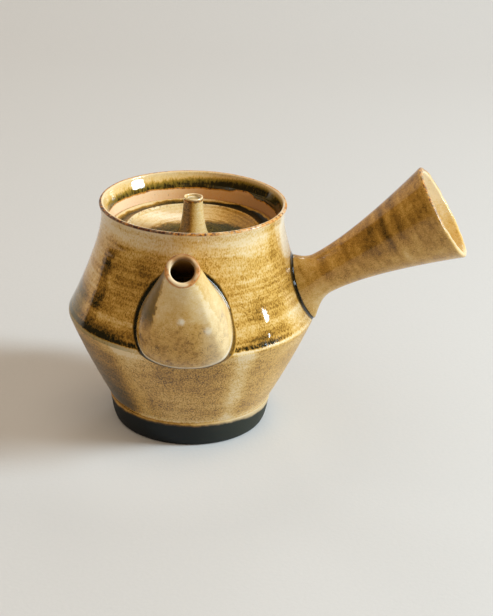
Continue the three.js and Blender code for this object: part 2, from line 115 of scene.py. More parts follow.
def throwing(angle, height, depth):
    wander = 0.9 * noise.noise(Vector((math.cos(angle), math.sin(angle), height / 17)))
    spiral = math.sin(2 * math.pi * height / THROW_PITCH + angle + 4 * wander)
    wide = noise.noise(Vector((2 * math.cos(angle), 2 * math.sin(angle), height / 9 + 7)))
    return depth * (0.5 * spiral + 1.6 * wide - 1.1)


def turned(name, outline, body, replaced, sides=POT_SIDES, depth=0.0, closed=False):
    rows = []
    for step in range(sides):
        angle = 2 * math.pi * step / sides
        shift = np.array([throwing(angle, z, depth) if r > 2 else 0 for r, z in outline]) if depth else 0
        radii = outline[:, 0] + shift
        rows.append(np.stack([radii * math.cos(angle), radii * math.sin(angle), outline[:, 1]], 1))
    count = len(outline)
    faces = []
    for step in range(sides):
        here, there = step * count, (step + 1) % sides * count
        for i in range(count if closed else count - 1):
            j = (i + 1) % count
            faces.append((here + i, there + i, there + j, here + j))
    return make_piece(name, np.concatenate(rows), faces, body, replaced)


# %% [markdown]
# ## The pot's wall
# The wall rises from the foot to a sharp shoulder ridge, leans in to the throat, and flares at the lip.
# Inside, a straight collar drops to the ledge that carries the lid. The lip is rounded with its own small
# runs, because the glaze thins there and its edge catches the light.

# %% Outline of the wall
FOOT_TOP = 10.9
RIDGE = 47.6
THROAT = 88.0
RIM_TOP = 94.0
WALL = 3.2

lower_wall = ((32.7, FOOT_TOP), (42.75, 29.25), (49.8, 46.7))
ridge_turn = ((49.8, 46.7), (50.2, RIDGE), (49.8, 48.5))
ridge_step = ((49.8, 48.5), (49.38, 49.4))
upper_wall = ((49.38, 49.4), (43.2, 62.52), (36.75, 79.89), (36.75, THROAT))
flare = ((36.75, THROAT), (36.75, 90.55), (37.55, 93.1))
lip_outside = ((37.55, 93.1), (37.55, RIM_TOP), (36.65, RIM_TOP))
lip_inside = ((36.65, RIM_TOP), (35.75, RIM_TOP), (35.75, 93.1))
collar_lead = ((35.75, 93.1), (34.35, 89.6))
collar_turn = ((34.35, 89.6), (33.9, 88.5), (33.9, 87))
collar_bore = ((33.9, 87), (33.9, 76.3))

outside_line = trace(lower_wall, ridge_turn, ridge_step, upper_wall, flare)
mouth_line = trace(lip_outside, lip_inside, collar_lead, collar_turn, collar_bore)


def wall_radius(height):
    return np.interp(height, outside_line[:, 1], outside_line[:, 0])


inside_line = np.array([(wall_radius(z) - WALL, z) for z in np.linspace(71.6, FOOT_TOP, 90)])
pot_outline = np.concatenate([outside_line, mouth_line[1:], inside_line])
pot_wall = turned("pot_wall", pot_outline, "pot", "pot_body", depth=THROW_DEPTH, closed=True)

# %% [markdown]
# ## The opening behind the spout
# Tea leaves through an opening in the wall, so a Boolean takes a short cylinder out of it. The cutter is
# removed once the modifier is applied, because only the opening belongs to the pot.

# %% Cutting with a Boolean
def cut(piece, cutter):
    modifier = piece.modifiers.new("cut", "BOOLEAN")
    modifier.object = cutter
    modifier.solver = "EXACT"
    graph = bpy.context.evaluated_depsgraph_get()
    result = bpy.data.meshes.new_from_object(piece.evaluated_get(graph))
    piece.modifiers.clear()
    piece.data = result
    bpy.data.objects.remove(cutter)
    result.set_sharp_from_angle(angle=math.radians(50))
    print(piece.name, "after the cut:", len(result.polygons), "faces")


def rods(radius, length, places, sides=20):
    shape = bmesh.new()
    for place, way in places:
        turn = Vector((0, 0, 1)).rotation_difference(Vector(way)).to_matrix().to_4x4()
        move = Matrix.Translation(Vector(place) * MM)
        bmesh.ops.create_cone(
            shape, cap_ends=True, segments=sides, radius1=radius * MM, radius2=radius * MM,
            depth=length * MM, matrix=move @ turn,
        )
    mesh = bpy.data.meshes.new("rods")
    shape.to_mesh(mesh)
    shape.free()
    cutter = bpy.data.objects.new("rods", mesh)
    bpy.context.scene.collection.objects.link(cutter)
    return cutter


def way_out(azimuth, lean):
    azimuth, lean = math.radians(azimuth), math.radians(lean)
    return np.array([math.cos(lean) * math.cos(azimuth), math.cos(lean) * math.sin(azimuth), math.sin(lean)])


STRAINER_HEIGHT = 59.7
SEAT_LEAN = 18
OPENING_RADIUS = 11.3
CUT_DEPTH = 12
strainer_middle = np.array([0, WALL - wall_radius(STRAINER_HEIGHT), STRAINER_HEIGHT])
strainer_out = way_out(-90, SEAT_LEAN)
cut(pot_wall, rods(OPENING_RADIUS, 2 * CUT_DEPTH, [(strainer_middle, strainer_out)], sides=48))

# %% [markdown]
# ## The foot and the lid's ledge
# The foot carries the dark bare band and the floor inside. The ledge is a plain ring in the collar. Both
# are turned from short outlines, and their corners get small runs of their own so that no edge is knife-
# sharp.

# %% Turning the foot and the ledge
FOOT_RADIUS, FOOT_FACE, FOOT_ROUND, FLOOR_TOP = 33.2, 29.5, 0.5, 4.5
foot_outline = trace(
    ((0, 0), (FOOT_FACE - 0.6, 0)), ((FOOT_FACE - 0.6, 0), (FOOT_FACE, 0), (FOOT_FACE + 0.4, 0.12)),
    ((FOOT_FACE + 0.4, 0.12), (31.61, 0.5), (32.2, 4.69), (FOOT_RADIUS, FOOT_TOP - FOOT_ROUND)),
    ((FOOT_RADIUS, FOOT_TOP - FOOT_ROUND), (FOOT_RADIUS, FOOT_TOP), (FOOT_RADIUS - FOOT_ROUND, FOOT_TOP)),
    ((FOOT_RADIUS - FOOT_ROUND, FOOT_TOP), (29.5, FOOT_TOP)),
    ((29.5, FOOT_TOP), (26.3, FLOOR_TOP), (20.5, FLOOR_TOP)), ((20.5, FLOOR_TOP), (0, FLOOR_TOP)),
)
foot_band = turned("foot_band", foot_outline, "pot", "foot")

LEDGE_TOP, LEDGE_UNDER, LEDGE_RADIUS, LEDGE_BORE, LEDGE_ROUND = 80, 76.6, 33.6, 29.4, 0.85
ledge_outline = trace(
    ((31.1, LEDGE_UNDER), (LEDGE_RADIUS, LEDGE_UNDER)),
    ((LEDGE_RADIUS, LEDGE_UNDER), (LEDGE_RADIUS, LEDGE_TOP)),
    ((LEDGE_RADIUS, LEDGE_TOP), (LEDGE_BORE + LEDGE_ROUND, LEDGE_TOP)),
    ((LEDGE_BORE + LEDGE_ROUND, LEDGE_TOP), (LEDGE_BORE, LEDGE_TOP), (LEDGE_BORE, LEDGE_TOP - LEDGE_ROUND)),
    ((LEDGE_BORE, LEDGE_TOP - LEDGE_ROUND), (LEDGE_BORE, LEDGE_UNDER), (31.1, LEDGE_UNDER)),
)[:-1]
lid_ledge = turned("lid_ledge", ledge_outline, "pot", "lid_seat", closed=True)

# %% [markdown]
# ## The lid
# The lid is a shallow dish with a raised edge, a channel where glaze pools, and a bead inside it. Below it
# hangs the skirt that keeps it in the pot. The knob is a slim stem that widens at both ends, with a small
# dished top. Its top was pressed by a finger, so its rim isn't quite round, and the fine mesh is nudged to
# show that.

# %% Turning the lid, its skirt and its knob
LID_RADIUS, LID_SEAT, LID_TOP, LID_ROUND = 33.2, 80.3, 83.2, 0.6
DISH_FLOOR, DISH_UNDER, KNOB_FOOT = 79.7, 76.8, 6.5
SKIRT_RADIUS, SKIRT_BORE, SKIRT_END = 28.8, 26.4, 72.3
BEAD_RADIUS, BEAD_HALF, BEAD_FOOT = 26.4, 0.8, 82.3
bead_outside, bead_inside = BEAD_RADIUS + BEAD_HALF, BEAD_RADIUS - BEAD_HALF
lid_flat = LID_RADIUS - LID_ROUND
lid_outline = trace(
    ((0, DISH_UNDER), (KNOB_FOOT, DISH_UNDER)),
    ((KNOB_FOOT, DISH_UNDER), (25.6, DISH_UNDER), (SKIRT_BORE, LID_SEAT)),
    ((SKIRT_BORE, LID_SEAT), (lid_flat, LID_SEAT)),
    ((lid_flat, LID_SEAT), (LID_RADIUS, LID_SEAT), (LID_RADIUS, LID_SEAT + LID_ROUND)),
    ((LID_RADIUS, LID_SEAT + LID_ROUND), (LID_RADIUS, LID_TOP - LID_ROUND)),
    ((LID_RADIUS, LID_TOP - LID_ROUND), (LID_RADIUS, LID_TOP), (lid_flat, LID_TOP)),
    ((lid_flat, LID_TOP), (29.9, 81.4), (bead_outside, BEAD_FOOT)),
    ((bead_outside, BEAD_FOOT), (BEAD_RADIUS, 84.1), (bead_inside, BEAD_FOOT)),
    ((bead_inside, BEAD_FOOT), (16.05, DISH_FLOOR), (KNOB_FOOT, DISH_FLOOR)),
    ((KNOB_FOOT, DISH_FLOOR), (0, DISH_FLOOR)),
)
lid_dish = turned("lid_dish", lid_outline, "lid", "lid_plate", depth=THROW_DEPTH / 2)
VENT_OFFSET, VENT_RADIUS = 17, 1.4
cut(lid_dish, rods(VENT_RADIUS, CUT_DEPTH, [((0, -VENT_OFFSET, DISH_FLOOR), (0, 0, 1))]))

middle = (SKIRT_RADIUS + SKIRT_BORE) / 2
rounded = SKIRT_END + SKIRT_RADIUS - middle
skirt_outline = trace(
    ((middle, SKIRT_END), (SKIRT_RADIUS, SKIRT_END), (SKIRT_RADIUS, rounded)),
    ((SKIRT_RADIUS, rounded), (SKIRT_RADIUS, LID_SEAT)), ((SKIRT_RADIUS, LID_SEAT), (SKIRT_BORE, LID_SEAT)),
    ((SKIRT_BORE, LID_SEAT), (SKIRT_BORE, rounded)),
    ((SKIRT_BORE, rounded), (SKIRT_BORE, SKIRT_END), (middle, SKIRT_END)),
)[:-1]
lid_skirt = turned("lid_skirt", skirt_outline, "lid", "lid_flange", closed=True)

KNOB_TOP, KNOB_DISH, PRESSED_FROM = 96, 3.2, 91
knob_outline = trace(
    ((0, DISH_FLOOR), (KNOB_FOOT, DISH_FLOOR)),
    ((KNOB_FOOT, DISH_FLOOR), (4.6, 83.6), (4.0, 90.3), (3.9, KNOB_TOP - 1.3)),
    ((3.9, KNOB_TOP - 1.3), (4.1, KNOB_TOP), (3.65, KNOB_TOP)),
    ((3.65, KNOB_TOP), (KNOB_DISH, KNOB_TOP), (KNOB_DISH, KNOB_TOP - 0.55)),
    ((KNOB_DISH, KNOB_TOP - 0.55), (KNOB_DISH, KNOB_TOP - 1.1), (0, KNOB_TOP - 1.1)), spacing=0.3,
)
knob_stem = turned("knob_stem", knob_outline, "lid", "lid_knob", sides=96, depth=0.02)
for corner in knob_stem.data.vertices:
    x, y, z = corner.co / MM
    pressed = max(0, (z - PRESSED_FROM) / (KNOB_TOP - PRESSED_FROM))
    corner.co.x *= 1 - 0.02 * pressed
    if z > KNOB_TOP - 2:
        corner.co.z -= MM * pressed * (0.25 + 0.25 * noise.noise(Vector((x / 3, y / 3, 5))))

# %% [markdown]
# ## The strainer
# Behind the spout a pierced dome holds the leaves back. It is seen when the lid is off. The dome is turned
# about its own axis, aimed at the middle of the pot, and drilled with rings of holes that stand square to
# its skin. One Boolean with all the rods in it is quicker and safer than one for each hole.

# %% Turning, aiming and drilling the dome
DOME_RADIUS, DOME_DEPTH, DOME_WALL = 14.5, 10.0, 2.2
DOME_SINK, DOME_TOP = 0.2, 73
HOLE_RADIUS, HOLE_PITCH, HOLE_RINGS = 0.85, 3.0, 5
dome_sphere = (DOME_RADIUS**2 + DOME_DEPTH**2) / (2 * DOME_DEPTH)
dome_drop = dome_sphere - DOME_DEPTH


def arc(radius, angles):
    return np.array([(radius * math.sin(a), radius * math.cos(a) - dome_drop) for a in angles])


outer_angle = math.asin(DOME_RADIUS / dome_sphere)
inner_sphere = dome_sphere - DOME_WALL
inner_angle = math.acos(dome_drop / inner_sphere)
dome_outline = np.concatenate([
    arc(inner_sphere, np.linspace(0, inner_angle, 24)), arc(dome_sphere, np.linspace(outer_angle, 0, 28)),
])
inward = Vector(-strainer_out)
aim = Vector((0, 0, 1)).rotation_difference(inward).to_matrix()
strainer_dome = turned("strainer_dome", dome_outline, "pot", "strainer", sides=96)
for corner in strainer_dome.data.vertices:
    spot = aim @ (corner.co / MM) + Vector(strainer_middle)
    reach = math.hypot(spot.x, spot.y)
    limit = float(wall_radius(spot.z)) - WALL + DOME_SINK
    lift = (aim @ (corner.co / MM)).dot(inward)
    if lift < 1.5 and reach > limit - 3:
        spot.x, spot.y = spot.x * limit / reach, spot.y * limit / reach
    spot.z = min(spot.z, DOME_TOP)
    corner.co = spot * MM

holes = []
centre = Vector(strainer_middle) + Vector(strainer_out) * dome_drop
for ring in range(HOLE_RINGS):
    count = max(1, 6 * ring)
    for i in range(count):
        lean, spin = ring * HOLE_PITCH / dome_sphere, 2 * math.pi * i / count
        way = aim @ Vector((math.sin(lean) * math.cos(spin), math.sin(lean) * math.sin(spin), math.cos(lean)))
        holes.append((centre + way * dome_sphere, way))
cut(strainer_dome, rods(HOLE_RADIUS, 4 * DOME_WALL, holes, sides=14))
print(len(holes), "holes")

# %% [markdown]
# ## Seats on a curved wall
# The spout and the handle stand on a wall that curves both ways. Their first ring lies on the wall itself:
# an ellipse across and up, wrapped round the pot. From there each point bends to its place on a round ring,
# so the tube leaves the wall square and arrives square. Blender could shrink-wrap a tube, but this keeps
# the joint exact.

# %% Rings for the spout and the handle
TUBE_SIDES = 128
SEAT_SINK = 0.6
around = 2 * np.pi * np.arange(TUBE_SIDES) / TUBE_SIDES


def seat_ring(seat, inset):
    power = np.where(np.sin(around) > 0, 1, np.where(np.cos(around) > 0, *seat["corners"]))
    rise = np.sign(np.sin(around)) * np.abs(np.sin(around)) ** power
    run = np.sign(np.cos(around)) * np.abs(np.cos(around)) ** power
    height = seat["height"] + (seat["half_height"] - inset) * rise
    across = (seat["half_width"] - inset) * run * (1 - seat["egg"] * rise)
    radius = wall_radius(height)
    turn = math.radians(seat["azimuth"]) + np.arcsin(across / radius)
    return np.stack([radius * np.cos(turn), radius * np.sin(turn), height], 1)


def round_ring(centre, way, azimuth, radius):
    azimuth = math.radians(azimuth)
    across = np.array([-math.sin(azimuth), math.cos(azimuth), 0])
    up = np.cross(way, across)
    return centre + radius * (np.cos(around)[:, None] * across + np.sin(around)[:, None] * up)


def bent_rings(start, start_way, start_share, end, end_way, end_share, steps):
    span = np.linalg.norm(end - start, axis=1)[:, None]
    controls = start, start + start_way * span * start_share, end - end_way * span * end_share, end
    return [on_curve(controls, step / steps) for step in range(steps + 1)]


def skin(name, rings, body, replaced):
    count, sides = len(rings), len(rings[0])
    faces, across = [], []
    for r in range(count):
        across += [(i / sides, r / (count - 1)) for i in range(sides)]
        here, there = r * sides, (r + 1) % count * sides
        for i in range(sides):
            j = (i + 1) % sides
            faces.append((here + i, here + j, there + j, there + i))
    return make_piece(name, np.concatenate(rings), faces, body, replaced, across)


# %% [markdown]
# ## The spout
# The spout is full where it sits over the shoulder, and draws in to a round mouth with a fat lip. The lip
# is half a ring of small steps, and is nudged by a little noise, because a mouth cut by hand is never a
# true circle.

# %% Lofting the spout
SPOUT_AZIMUTH = -90
spout_seat = {
    "azimuth": SPOUT_AZIMUTH, "height": 61.2, "half_width": 17.8, "half_height": 18.3, "egg": 0.24,
    "corners": (0.80, 0.93),
}
SPOUT_WALL, SPOUT_EDGE, SPOUT_LIP, MOUTH_RADIUS = 3.2, 0.9, 2.1, 6.6
spout_out = way_out(SPOUT_AZIMUTH, SEAT_LEAN)
pour = way_out(SPOUT_AZIMUTH, 38)
spout_mouth = np.array([0, -60.83, 88.65])


def lip_rings(centre, way, azimuth, radius, thickness, wobble):
    rings = []
    half = thickness / 2
    for step in range(1, 10):
        turn = math.pi * step / 10
        ring = round_ring(centre - way * half, way, azimuth, radius - half * (1 - math.cos(turn)))
        ring = ring + way * half * math.sin(turn)
        shake = [noise.noise(Vector(p) / 3) for p in ring]
        rings.append(ring + wobble * math.sin(turn) * (np.array(shake)[:, None] - 1) * way)
    return rings


def tube(seat, out, edge, wall, outside, lip, inside):
    """All rings, from under the seat over the lip and back inside; both ends sink into the pot's wall."""
    first = seat_ring(seat, edge)
    last = seat_ring(seat, wall) - out * SEAT_SINK
    return [first - out * SEAT_SINK, first, *outside, *lip, *inside[::-1], last]


def spout_side(start, radius, steps):
    end = round_ring(spout_mouth - pour * SPOUT_LIP / 2, pour, SPOUT_AZIMUTH, radius)
    return bent_rings(start, spout_out, 0.42, end, pour, 0.2, steps)


spout_outside = spout_side(seat_ring(spout_seat, 0) + spout_out * SPOUT_EDGE, MOUTH_RADIUS, 48)
spout_inside = spout_side(seat_ring(spout_seat, SPOUT_WALL), MOUTH_RADIUS - SPOUT_LIP, 32)
edge_roll = [
    seat_ring(spout_seat, SPOUT_EDGE * (1 - math.sin(t))) + spout_out * SPOUT_EDGE * (1 - math.cos(t))
    for t in np.linspace(0.25, math.pi / 2, 6)[:-1]
]
spout_lip = lip_rings(spout_mouth, pour, SPOUT_AZIMUTH, MOUTH_RADIUS, SPOUT_LIP, 0.35)
spout_rings = tube(
    spout_seat, spout_out, SPOUT_EDGE, SPOUT_WALL, edge_roll + spout_outside, spout_lip, spout_inside,
)
spout_tube = skin("spout_tube", spout_rings, "pot", "spout")

# %% [markdown]
# ## The handle
# The handle flares on to the wall, narrows to a neck for the fingers, and opens as a trumpet. It is hollow,
# so that it stays cool and doesn't crack in the kiln, and its wide end shows the pale inside.

# %% Lofting the handle
HANDLE_AZIMUTH, HANDLE_LEAN = -2.3, 31.7
handle_seat = {
    "azimuth": HANDLE_AZIMUTH, "height": 59.5, "half_width": 10.0, "half_height": 13.0, "egg": 0.0,
    "corners": (1, 1),
}
HANDLE_WALL, HANDLE_EDGE = 2.6, 0.7
NECK_AT, NECK_RADIUS, HANDLE_LENGTH, HANDLE_END = 10.0, 8.5, 65.3, 19.84
handle_out = way_out(HANDLE_AZIMUTH, SEAT_LEAN)
handle_way = way_out(HANDLE_AZIMUTH, HANDLE_LEAN)
HANDLE_ROOT = 60.8
handle_root = way_out(HANDLE_AZIMUTH, 0) * wall_radius(HANDLE_ROOT) + np.array([0, 0, HANDLE_ROOT])


def handle_side(start, inset, steps):
    neck = round_ring(handle_root + handle_way * NECK_AT, handle_way, HANDLE_AZIMUTH, NECK_RADIUS - inset)
    rings = bent_rings(start, handle_out, 0.1, neck, handle_way, 0.5, steps)
    straight_to = NECK_AT + 0.33 * (HANDLE_LENGTH - NECK_AT)
    curve = (NECK_AT, NECK_RADIUS), (straight_to, NECK_RADIUS), (HANDLE_LENGTH, HANDLE_END)
    for step in range(1, 2 * steps + 1):
        share = step / (2 * steps)
        along, radius = on_curve(curve, share)
        place = handle_root + handle_way * (along - share * HANDLE_WALL / 2)
        rings.append(round_ring(place, handle_way, HANDLE_AZIMUTH, radius - inset))
    return rings


handle_lip = lip_rings(
    handle_root + handle_way * HANDLE_LENGTH, handle_way, HANDLE_AZIMUTH, HANDLE_END, HANDLE_WALL, 0.3,
)
handle_outside = handle_side(seat_ring(handle_seat, 0) + handle_out * HANDLE_EDGE, 0, 32)
handle_rings = tube(
    handle_seat, handle_out, HANDLE_EDGE, HANDLE_WALL, handle_outside, handle_lip,
    handle_side(seat_ring(handle_seat, HANDLE_WALL), HANDLE_WALL, 16),
)
handle_tube = skin("handle_tube", handle_rings, "pot", "handle")

# %% [markdown]
# ## Pooled glaze
# Melted glaze runs into the joints round the spout and the handle and stays there as a dark glassy fillet.
# Each fillet is a thin closed ring that lies in the corner: it starts on the wall, dips into the corner and
# climbs the side of the tube. Its width changes round the joint, because the glaze ran down while it was
# molten.

# %% Laying a fillet into a joint
POOL_LIFT = 0.04


def fillet(name, seat, out, widths):
    width = np.interp(np.degrees(around), *zip(*widths), period=360)
    shake = np.array([noise.noise(Vector((math.cos(t), math.sin(t), 0)) * 4) for t in around])
    width = width * (1 + 0.12 * shake)
    on_wall = seat_ring(seat, -width) + out * POOL_LIFT
    corner = seat_ring(seat, 0.3) + out * 0.25
    climb = np.clip(0.35 + 0.3 * width, 0.4, 1.1)[:, None]
    on_tube = seat_ring(seat, -POOL_LIFT) + out * climb
    rings = [on_curve((on_wall, corner, on_tube), step / 8) for step in range(9)]
    inner = seat_ring(seat, 0.6) + out * (climb - 0.1)
    under = [inner, seat_ring(seat, 0.5) - out * 0.3, on_wall - out * 0.35]
    return skin(name, rings + under, "pot", None)


SPOUT_POOL_WIDTHS = [
    (0, 0.9), (40, 1.7), (90, 1.5), (140, 2.2), (180, 1.9), (220, 1.4), (270, 0.6), (300, 0.8), (328, 1.8),
]
HANDLE_POOL_WIDTHS = [
    (0, 1.4), (60, 1.4), (90, 1.3), (120, 1.9), (180, 2.0), (220, 1.4), (270, 0.7), (320, 0.9),
]
spout_pool = fillet("spout_pool", spout_seat, spout_out, SPOUT_POOL_WIDTHS)
handle_pool = fillet("handle_pool", handle_seat, handle_out, HANDLE_POOL_WIDTHS)

# %% [markdown]
# ## Shader sums
# A finish is built from numbers that change over the surface. Written with nodes alone, a sum of four terms
# is a tangle, so a small class wraps a socket and turns + - * / into Math nodes. Its reflected forms let a
# plain number stand first, as in 1 - mask.

# %% A value that varies over a surface
class Value:
    def __init__(self, finish, socket):
        self.finish, self.socket = finish, socket

    def maths(self, operation, first, second=0.0):
        node = self.finish.node("ShaderNodeMath", {"operation": operation}, {0: first, 1: second})
        return Value(self.finish, node.outputs[0])

    def __add__(self, other):
        return self.maths("ADD", self, other)

    def __sub__(self, other):
        return self.maths("SUBTRACT", self, other)

    def __rsub__(self, other):
        return self.maths("SUBTRACT", other, self)

    def __mul__(self, other):
        return self.maths("MULTIPLY", self, other)

    def __truediv__(self, other):
        return self.maths("DIVIDE", self, other)

    def __pow__(self, other):
        return self.maths("POWER", self, other)

    def __abs__(self):
        return self.maths("ABSOLUTE", self)

    __radd__, __rmul__ = __add__, __mul__

    def least(self, other):
        return self.maths("MINIMUM", self, other)

    def most(self, other):
        return self.maths("MAXIMUM", self, other)

    def rise(self, low, high):
        """0 below low, 1 above high, and a smooth step between them; low above high turns it round."""
        settings = {"interpolation_type": "SMOOTHSTEP"}
        ends = {"Value": self, "From Min": min(low, high), "From Max": max(low, high)}
        ends |= {"To Min": float(low > high), "To Max": float(low < high)}
        return Value(self.finish, self.finish.node("ShaderNodeMapRange", settings, ends).outputs[0])

    def near(self, middle, half, soft):
        """1 within half of the middle, falling to 0 over the soft distance."""
        return abs(self - middle).rise(half + soft, half)


# %% A finish: a material with the nodes that glaze and clay need
NOISE_GAIN = 2.2


class Finish:
    def __init__(self, name):
        self.material = bpy.data.materials.new(name)
        self.material.use_nodes = True
        self.tree = self.material.node_tree
        self.tree.nodes.clear()
        place = self.node("ShaderNodeTexCoord").outputs["Object"]
        scaled = self.node("ShaderNodeVectorMath", {"operation": "SCALE"}, {0: place, 3: 1 / MM})
        self.spot = scaled.outputs[0]
        axes = self.node("ShaderNodeSeparateXYZ", inputs={0: self.spot})
        self.x, self.y, self.z = (Value(self, axis) for axis in axes.outputs)
        self.radius = (self.x * self.x + self.y * self.y) ** 0.5

    def node(self, kind, settings=None, inputs=None):
        node = self.tree.nodes.new(kind)
        for name, value in (settings or {}).items():
            if name == "stops":
                while len(node.color_ramp.elements) < len(value):
                    node.color_ramp.elements.new(0.5)
                for element, (position, colour) in zip(node.color_ramp.elements, value):
                    element.position, element.color = position, (*colour, 1)
            else:
                setattr(node, name, value)
        for name, value in (inputs or {}).items():
            if isinstance(value, Value):
                value = value.socket
            if isinstance(value, bpy.types.NodeSocket):
                self.tree.links.new(value, node.inputs[name])
            else:
                node.inputs[name].default_value = value
        return node

    def noise(self, scale, detail=2, stretch=(1, 1, 1), shift=0):
        """Noise from 0 to 1 with lumps of scale millimetres, and longer ones along a stretched axis."""
        sizes = [1 / (scale * s) for s in stretch]
        moved = {0: self.spot, 1: sizes, 2: (shift, shift / 2, -shift)}
        spot = self.node("ShaderNodeVectorMath", {"operation": "MULTIPLY_ADD"}, moved).outputs[0]
        node = self.node("ShaderNodeTexNoise", inputs={"Vector": spot, "Scale": 1.0, "Detail": detail})
        return Value(self, node.outputs[0]) * NOISE_GAIN - (NOISE_GAIN - 1) / 2

    def rings(self, value, pitch, detail=1):
        """Uneven rings from 0 to 1 along a value in millimetres."""
        inputs = {"W": value / pitch, "Scale": 1.0, "Detail": detail}
        node = self.node("ShaderNodeTexNoise", {"noise_dimensions": "1D"}, inputs)
        return Value(self, node.outputs[0]) * NOISE_GAIN - (NOISE_GAIN - 1) / 2

    def across(self):
        """0 to 1 over the rings of a skin, from its first ring to its last."""
        layer = self.node("ShaderNodeUVMap", {"uv_map": "across"})
        return Value(self, self.node("ShaderNodeSeparateXYZ", inputs={0: layer.outputs[0]}).outputs[1])

    def far(self, place):
        """Millimetres from a place."""
        distance = self.node("ShaderNodeVectorMath", {"operation": "DISTANCE"}, {0: self.spot, 1: place})
        return Value(self, distance.outputs["Value"])

    def along(self, origin, way):
        """Millimetres from the origin along a direction."""
        moved = self.node("ShaderNodeVectorMath", {"operation": "SUBTRACT"}, {0: self.spot, 1: list(origin)})
        both = {0: moved.outputs[0], 1: list(way)}
        product = self.node("ShaderNodeVectorMath", {"operation": "DOT_PRODUCT"}, both)
        return Value(self, product.outputs["Value"])

    def bearing(self):
        """Degrees round the pot, from the spout's side towards the handle; it jumps at the back."""
        return self.x.maths("ARCTAN2", self.x, 0 - self.y) * math.degrees(1)

    def ramp(self, value, stops):
        return self.node("ShaderNodeValToRGB", {"stops": stops}, {0: value}).outputs[0]

    def blend(self, factor, below, top_with_dark_reflection):
        def colour(c):
            return c if isinstance(c, bpy.types.NodeSocket) else (*c, 1)

        inputs = {0: factor, 6: colour(below), 7: colour(top_with_dark_reflection)}
        return self.node("ShaderNodeMix", {"data_type": "RGBA"}, inputs).outputs[2]

    def done(self, colour, roughness, relief, specular=0.5):
        """Relief is in millimetres, and too fine for the mesh."""
        bump = self.node("ShaderNodeBump", inputs={"Strength": 1.0, "Distance": MM, "Height": relief})
        shader = self.node("ShaderNodeBsdfPrincipled", inputs={
            "Base Color": colour if isinstance(colour, bpy.types.NodeSocket) else (*colour, 1),
            "Roughness": roughness, "IOR": 1.5, "Specular IOR Level": specular, "Normal": bump.outputs[0],
        })
        self.node("ShaderNodeOutputMaterial", inputs={0: shader.outputs[0]})
        print(self.material.name, len(self.tree.nodes), "nodes")
        return self.material


# %% [markdown]
# ## Ash glaze
# Ash glaze takes its colour from its thickness. Thin glaze on an edge is cream, a normal coat is golden
# ochre, a heavy one is olive brown, and a pool is nearly black. So each glazed piece only says how thick
# its glaze is, and one ramp turns that number into a colour for all of them. The thickness is a plain coat
# plus or minus masks. A mask goes from 0 to 1 and is named for where it lies.

# %% The ramp from thin to thick
ASH = [
    (0.0, (0.82, 0.63, 0.36)), (0.15, (0.76, 0.53, 0.22)), (0.32, (0.66, 0.39, 0.095)),
    (0.48, (0.46, 0.24, 0.042)), (0.62, (0.27, 0.135, 0.023)), (0.78, (0.11, 0.06, 0.012)),
    (0.9, (0.038, 0.027, 0.006)), (1.0, (0.013, 0.012, 0.006)),
]
RUST = [(0.25, (0.64, 0.26, 0.03)), (0.5, (0.24, 0.07, 0.014)), (0.75, (0.07, 0.02, 0.006))]
BUFF = (0.92, 0.64, 0.38)
GLOSS = 0.06


def coat(piece, material):
    piece.data.materials.clear()
    piece.data.materials.append(material)


def speckle(finish, size, shift=0):
    """Fine dark grains, more in some places than in others."""
    grains = finish.noise(size, 1, shift=shift).rise(0.5, 0.95)
    return grains * finish.noise(8 * size, 1, shift=shift + 3).rise(0.1, 0.9)


def rust(finish, shift, dark=0.0):
    """Iron that shows where the glaze is thin, orange in some places and dark in others."""
    return finish.ramp(finish.noise(1.1, 2, shift=shift) + dark, RUST)


def spots(finish, table):
    """Each row: how much thicker, the middle, and how far from it the spot starts and is full."""
    return sum(amount * finish.far(middle).rise(*reach) for amount, middle, reach in table)


# %% [markdown]
# ## The wall's glaze
# The glaze streaks round the wall with the throwing lines, thins at the lip, the ridge and the foot, and
# pools above the ridge in short upright runs. Poured glaze also leaves patches where it ran twice or was
# wiped; below the ridge, the patches and bands are painted highlights and painted shade. Each patch is
# written as how much thicker the glaze is, where it lies round the pot in degrees from the spout, and over
# which heights it comes in. The same thing could be painted by hand on an image, but a table is easier to
# change.

# %% Marks in the wall's glaze
wall = Finish("wall_glaze")
wander = wall.noise(14, 1, (3, 3, 1), shift=5)
lines = wall.rings(wall.z + 1.4 * wander, 3.9, 2)
fine_lines = wall.rings(wall.z + 0.5 * wander, 1.7, 2)
patches = wall.noise(5, 3, (3, 3, 1), shift=4)
mottle = wall.noise(1.3, 3, (1.4, 1.4, 1), shift=9)
grain = wall.noise(0.5, 1, (1, 1, 2), shift=2).rise(0.3, 0.9)
ragged = wall.noise(6, 2, shift=17)
runs = wall.noise(0.7, 1, (1, 1, 4), shift=2)
bearing = wall.bearing()
upper = wall.z.rise(RIDGE + 0.8, RIDGE + 1.6)


def patches_round(table):
    """Each row: how much thicker, (middle, half, soft) in degrees, and where it starts and is full."""
    return sum(amount * bearing.near(*turn) * wall.z.rise(*heights) for amount, turn, heights in table)


# %% Thickness above the ridge
UPPER_PATCHES = [
    (-0.16, (-82, 14, 18), (58, 70)), (0.12, (-105, 35, 10), (68, 58)),
    (-0.13, (30, 4, 6), (76, 70)), (0.08, (46, 6, 8), (62, 54)),
]
UPPER_SPOTS = [(0.06, (-29, -29, 66), (15, 3)), (0.2, (-14, -35, 78), (9, 2))]
heavy_stripe = bearing.near(64, 5, 5)
thin_top = (wall.z + 0.22 * wall.x).rise(74, 86) * (1 - 0.8 * heavy_stripe)
thin_by_handle = bearing.near(94, 30, 12) * wall.z.near(55, 4, 5)
dark_strip = (bearing + 6 * (ragged - 0.5)).near(-54, 3, 4) * wall.z.rise(83, 78) * wall.z.rise(51, 56)
streaked = 0.42 + 0.16 * (lines - 0.5) + 0.14 * (fine_lines - 0.5) + 0.36 * (patches - 0.5)
streaked = streaked - 0.2 * thin_top - 0.2 * thin_by_handle + (0.22 + 0.12 * ragged) * dark_strip
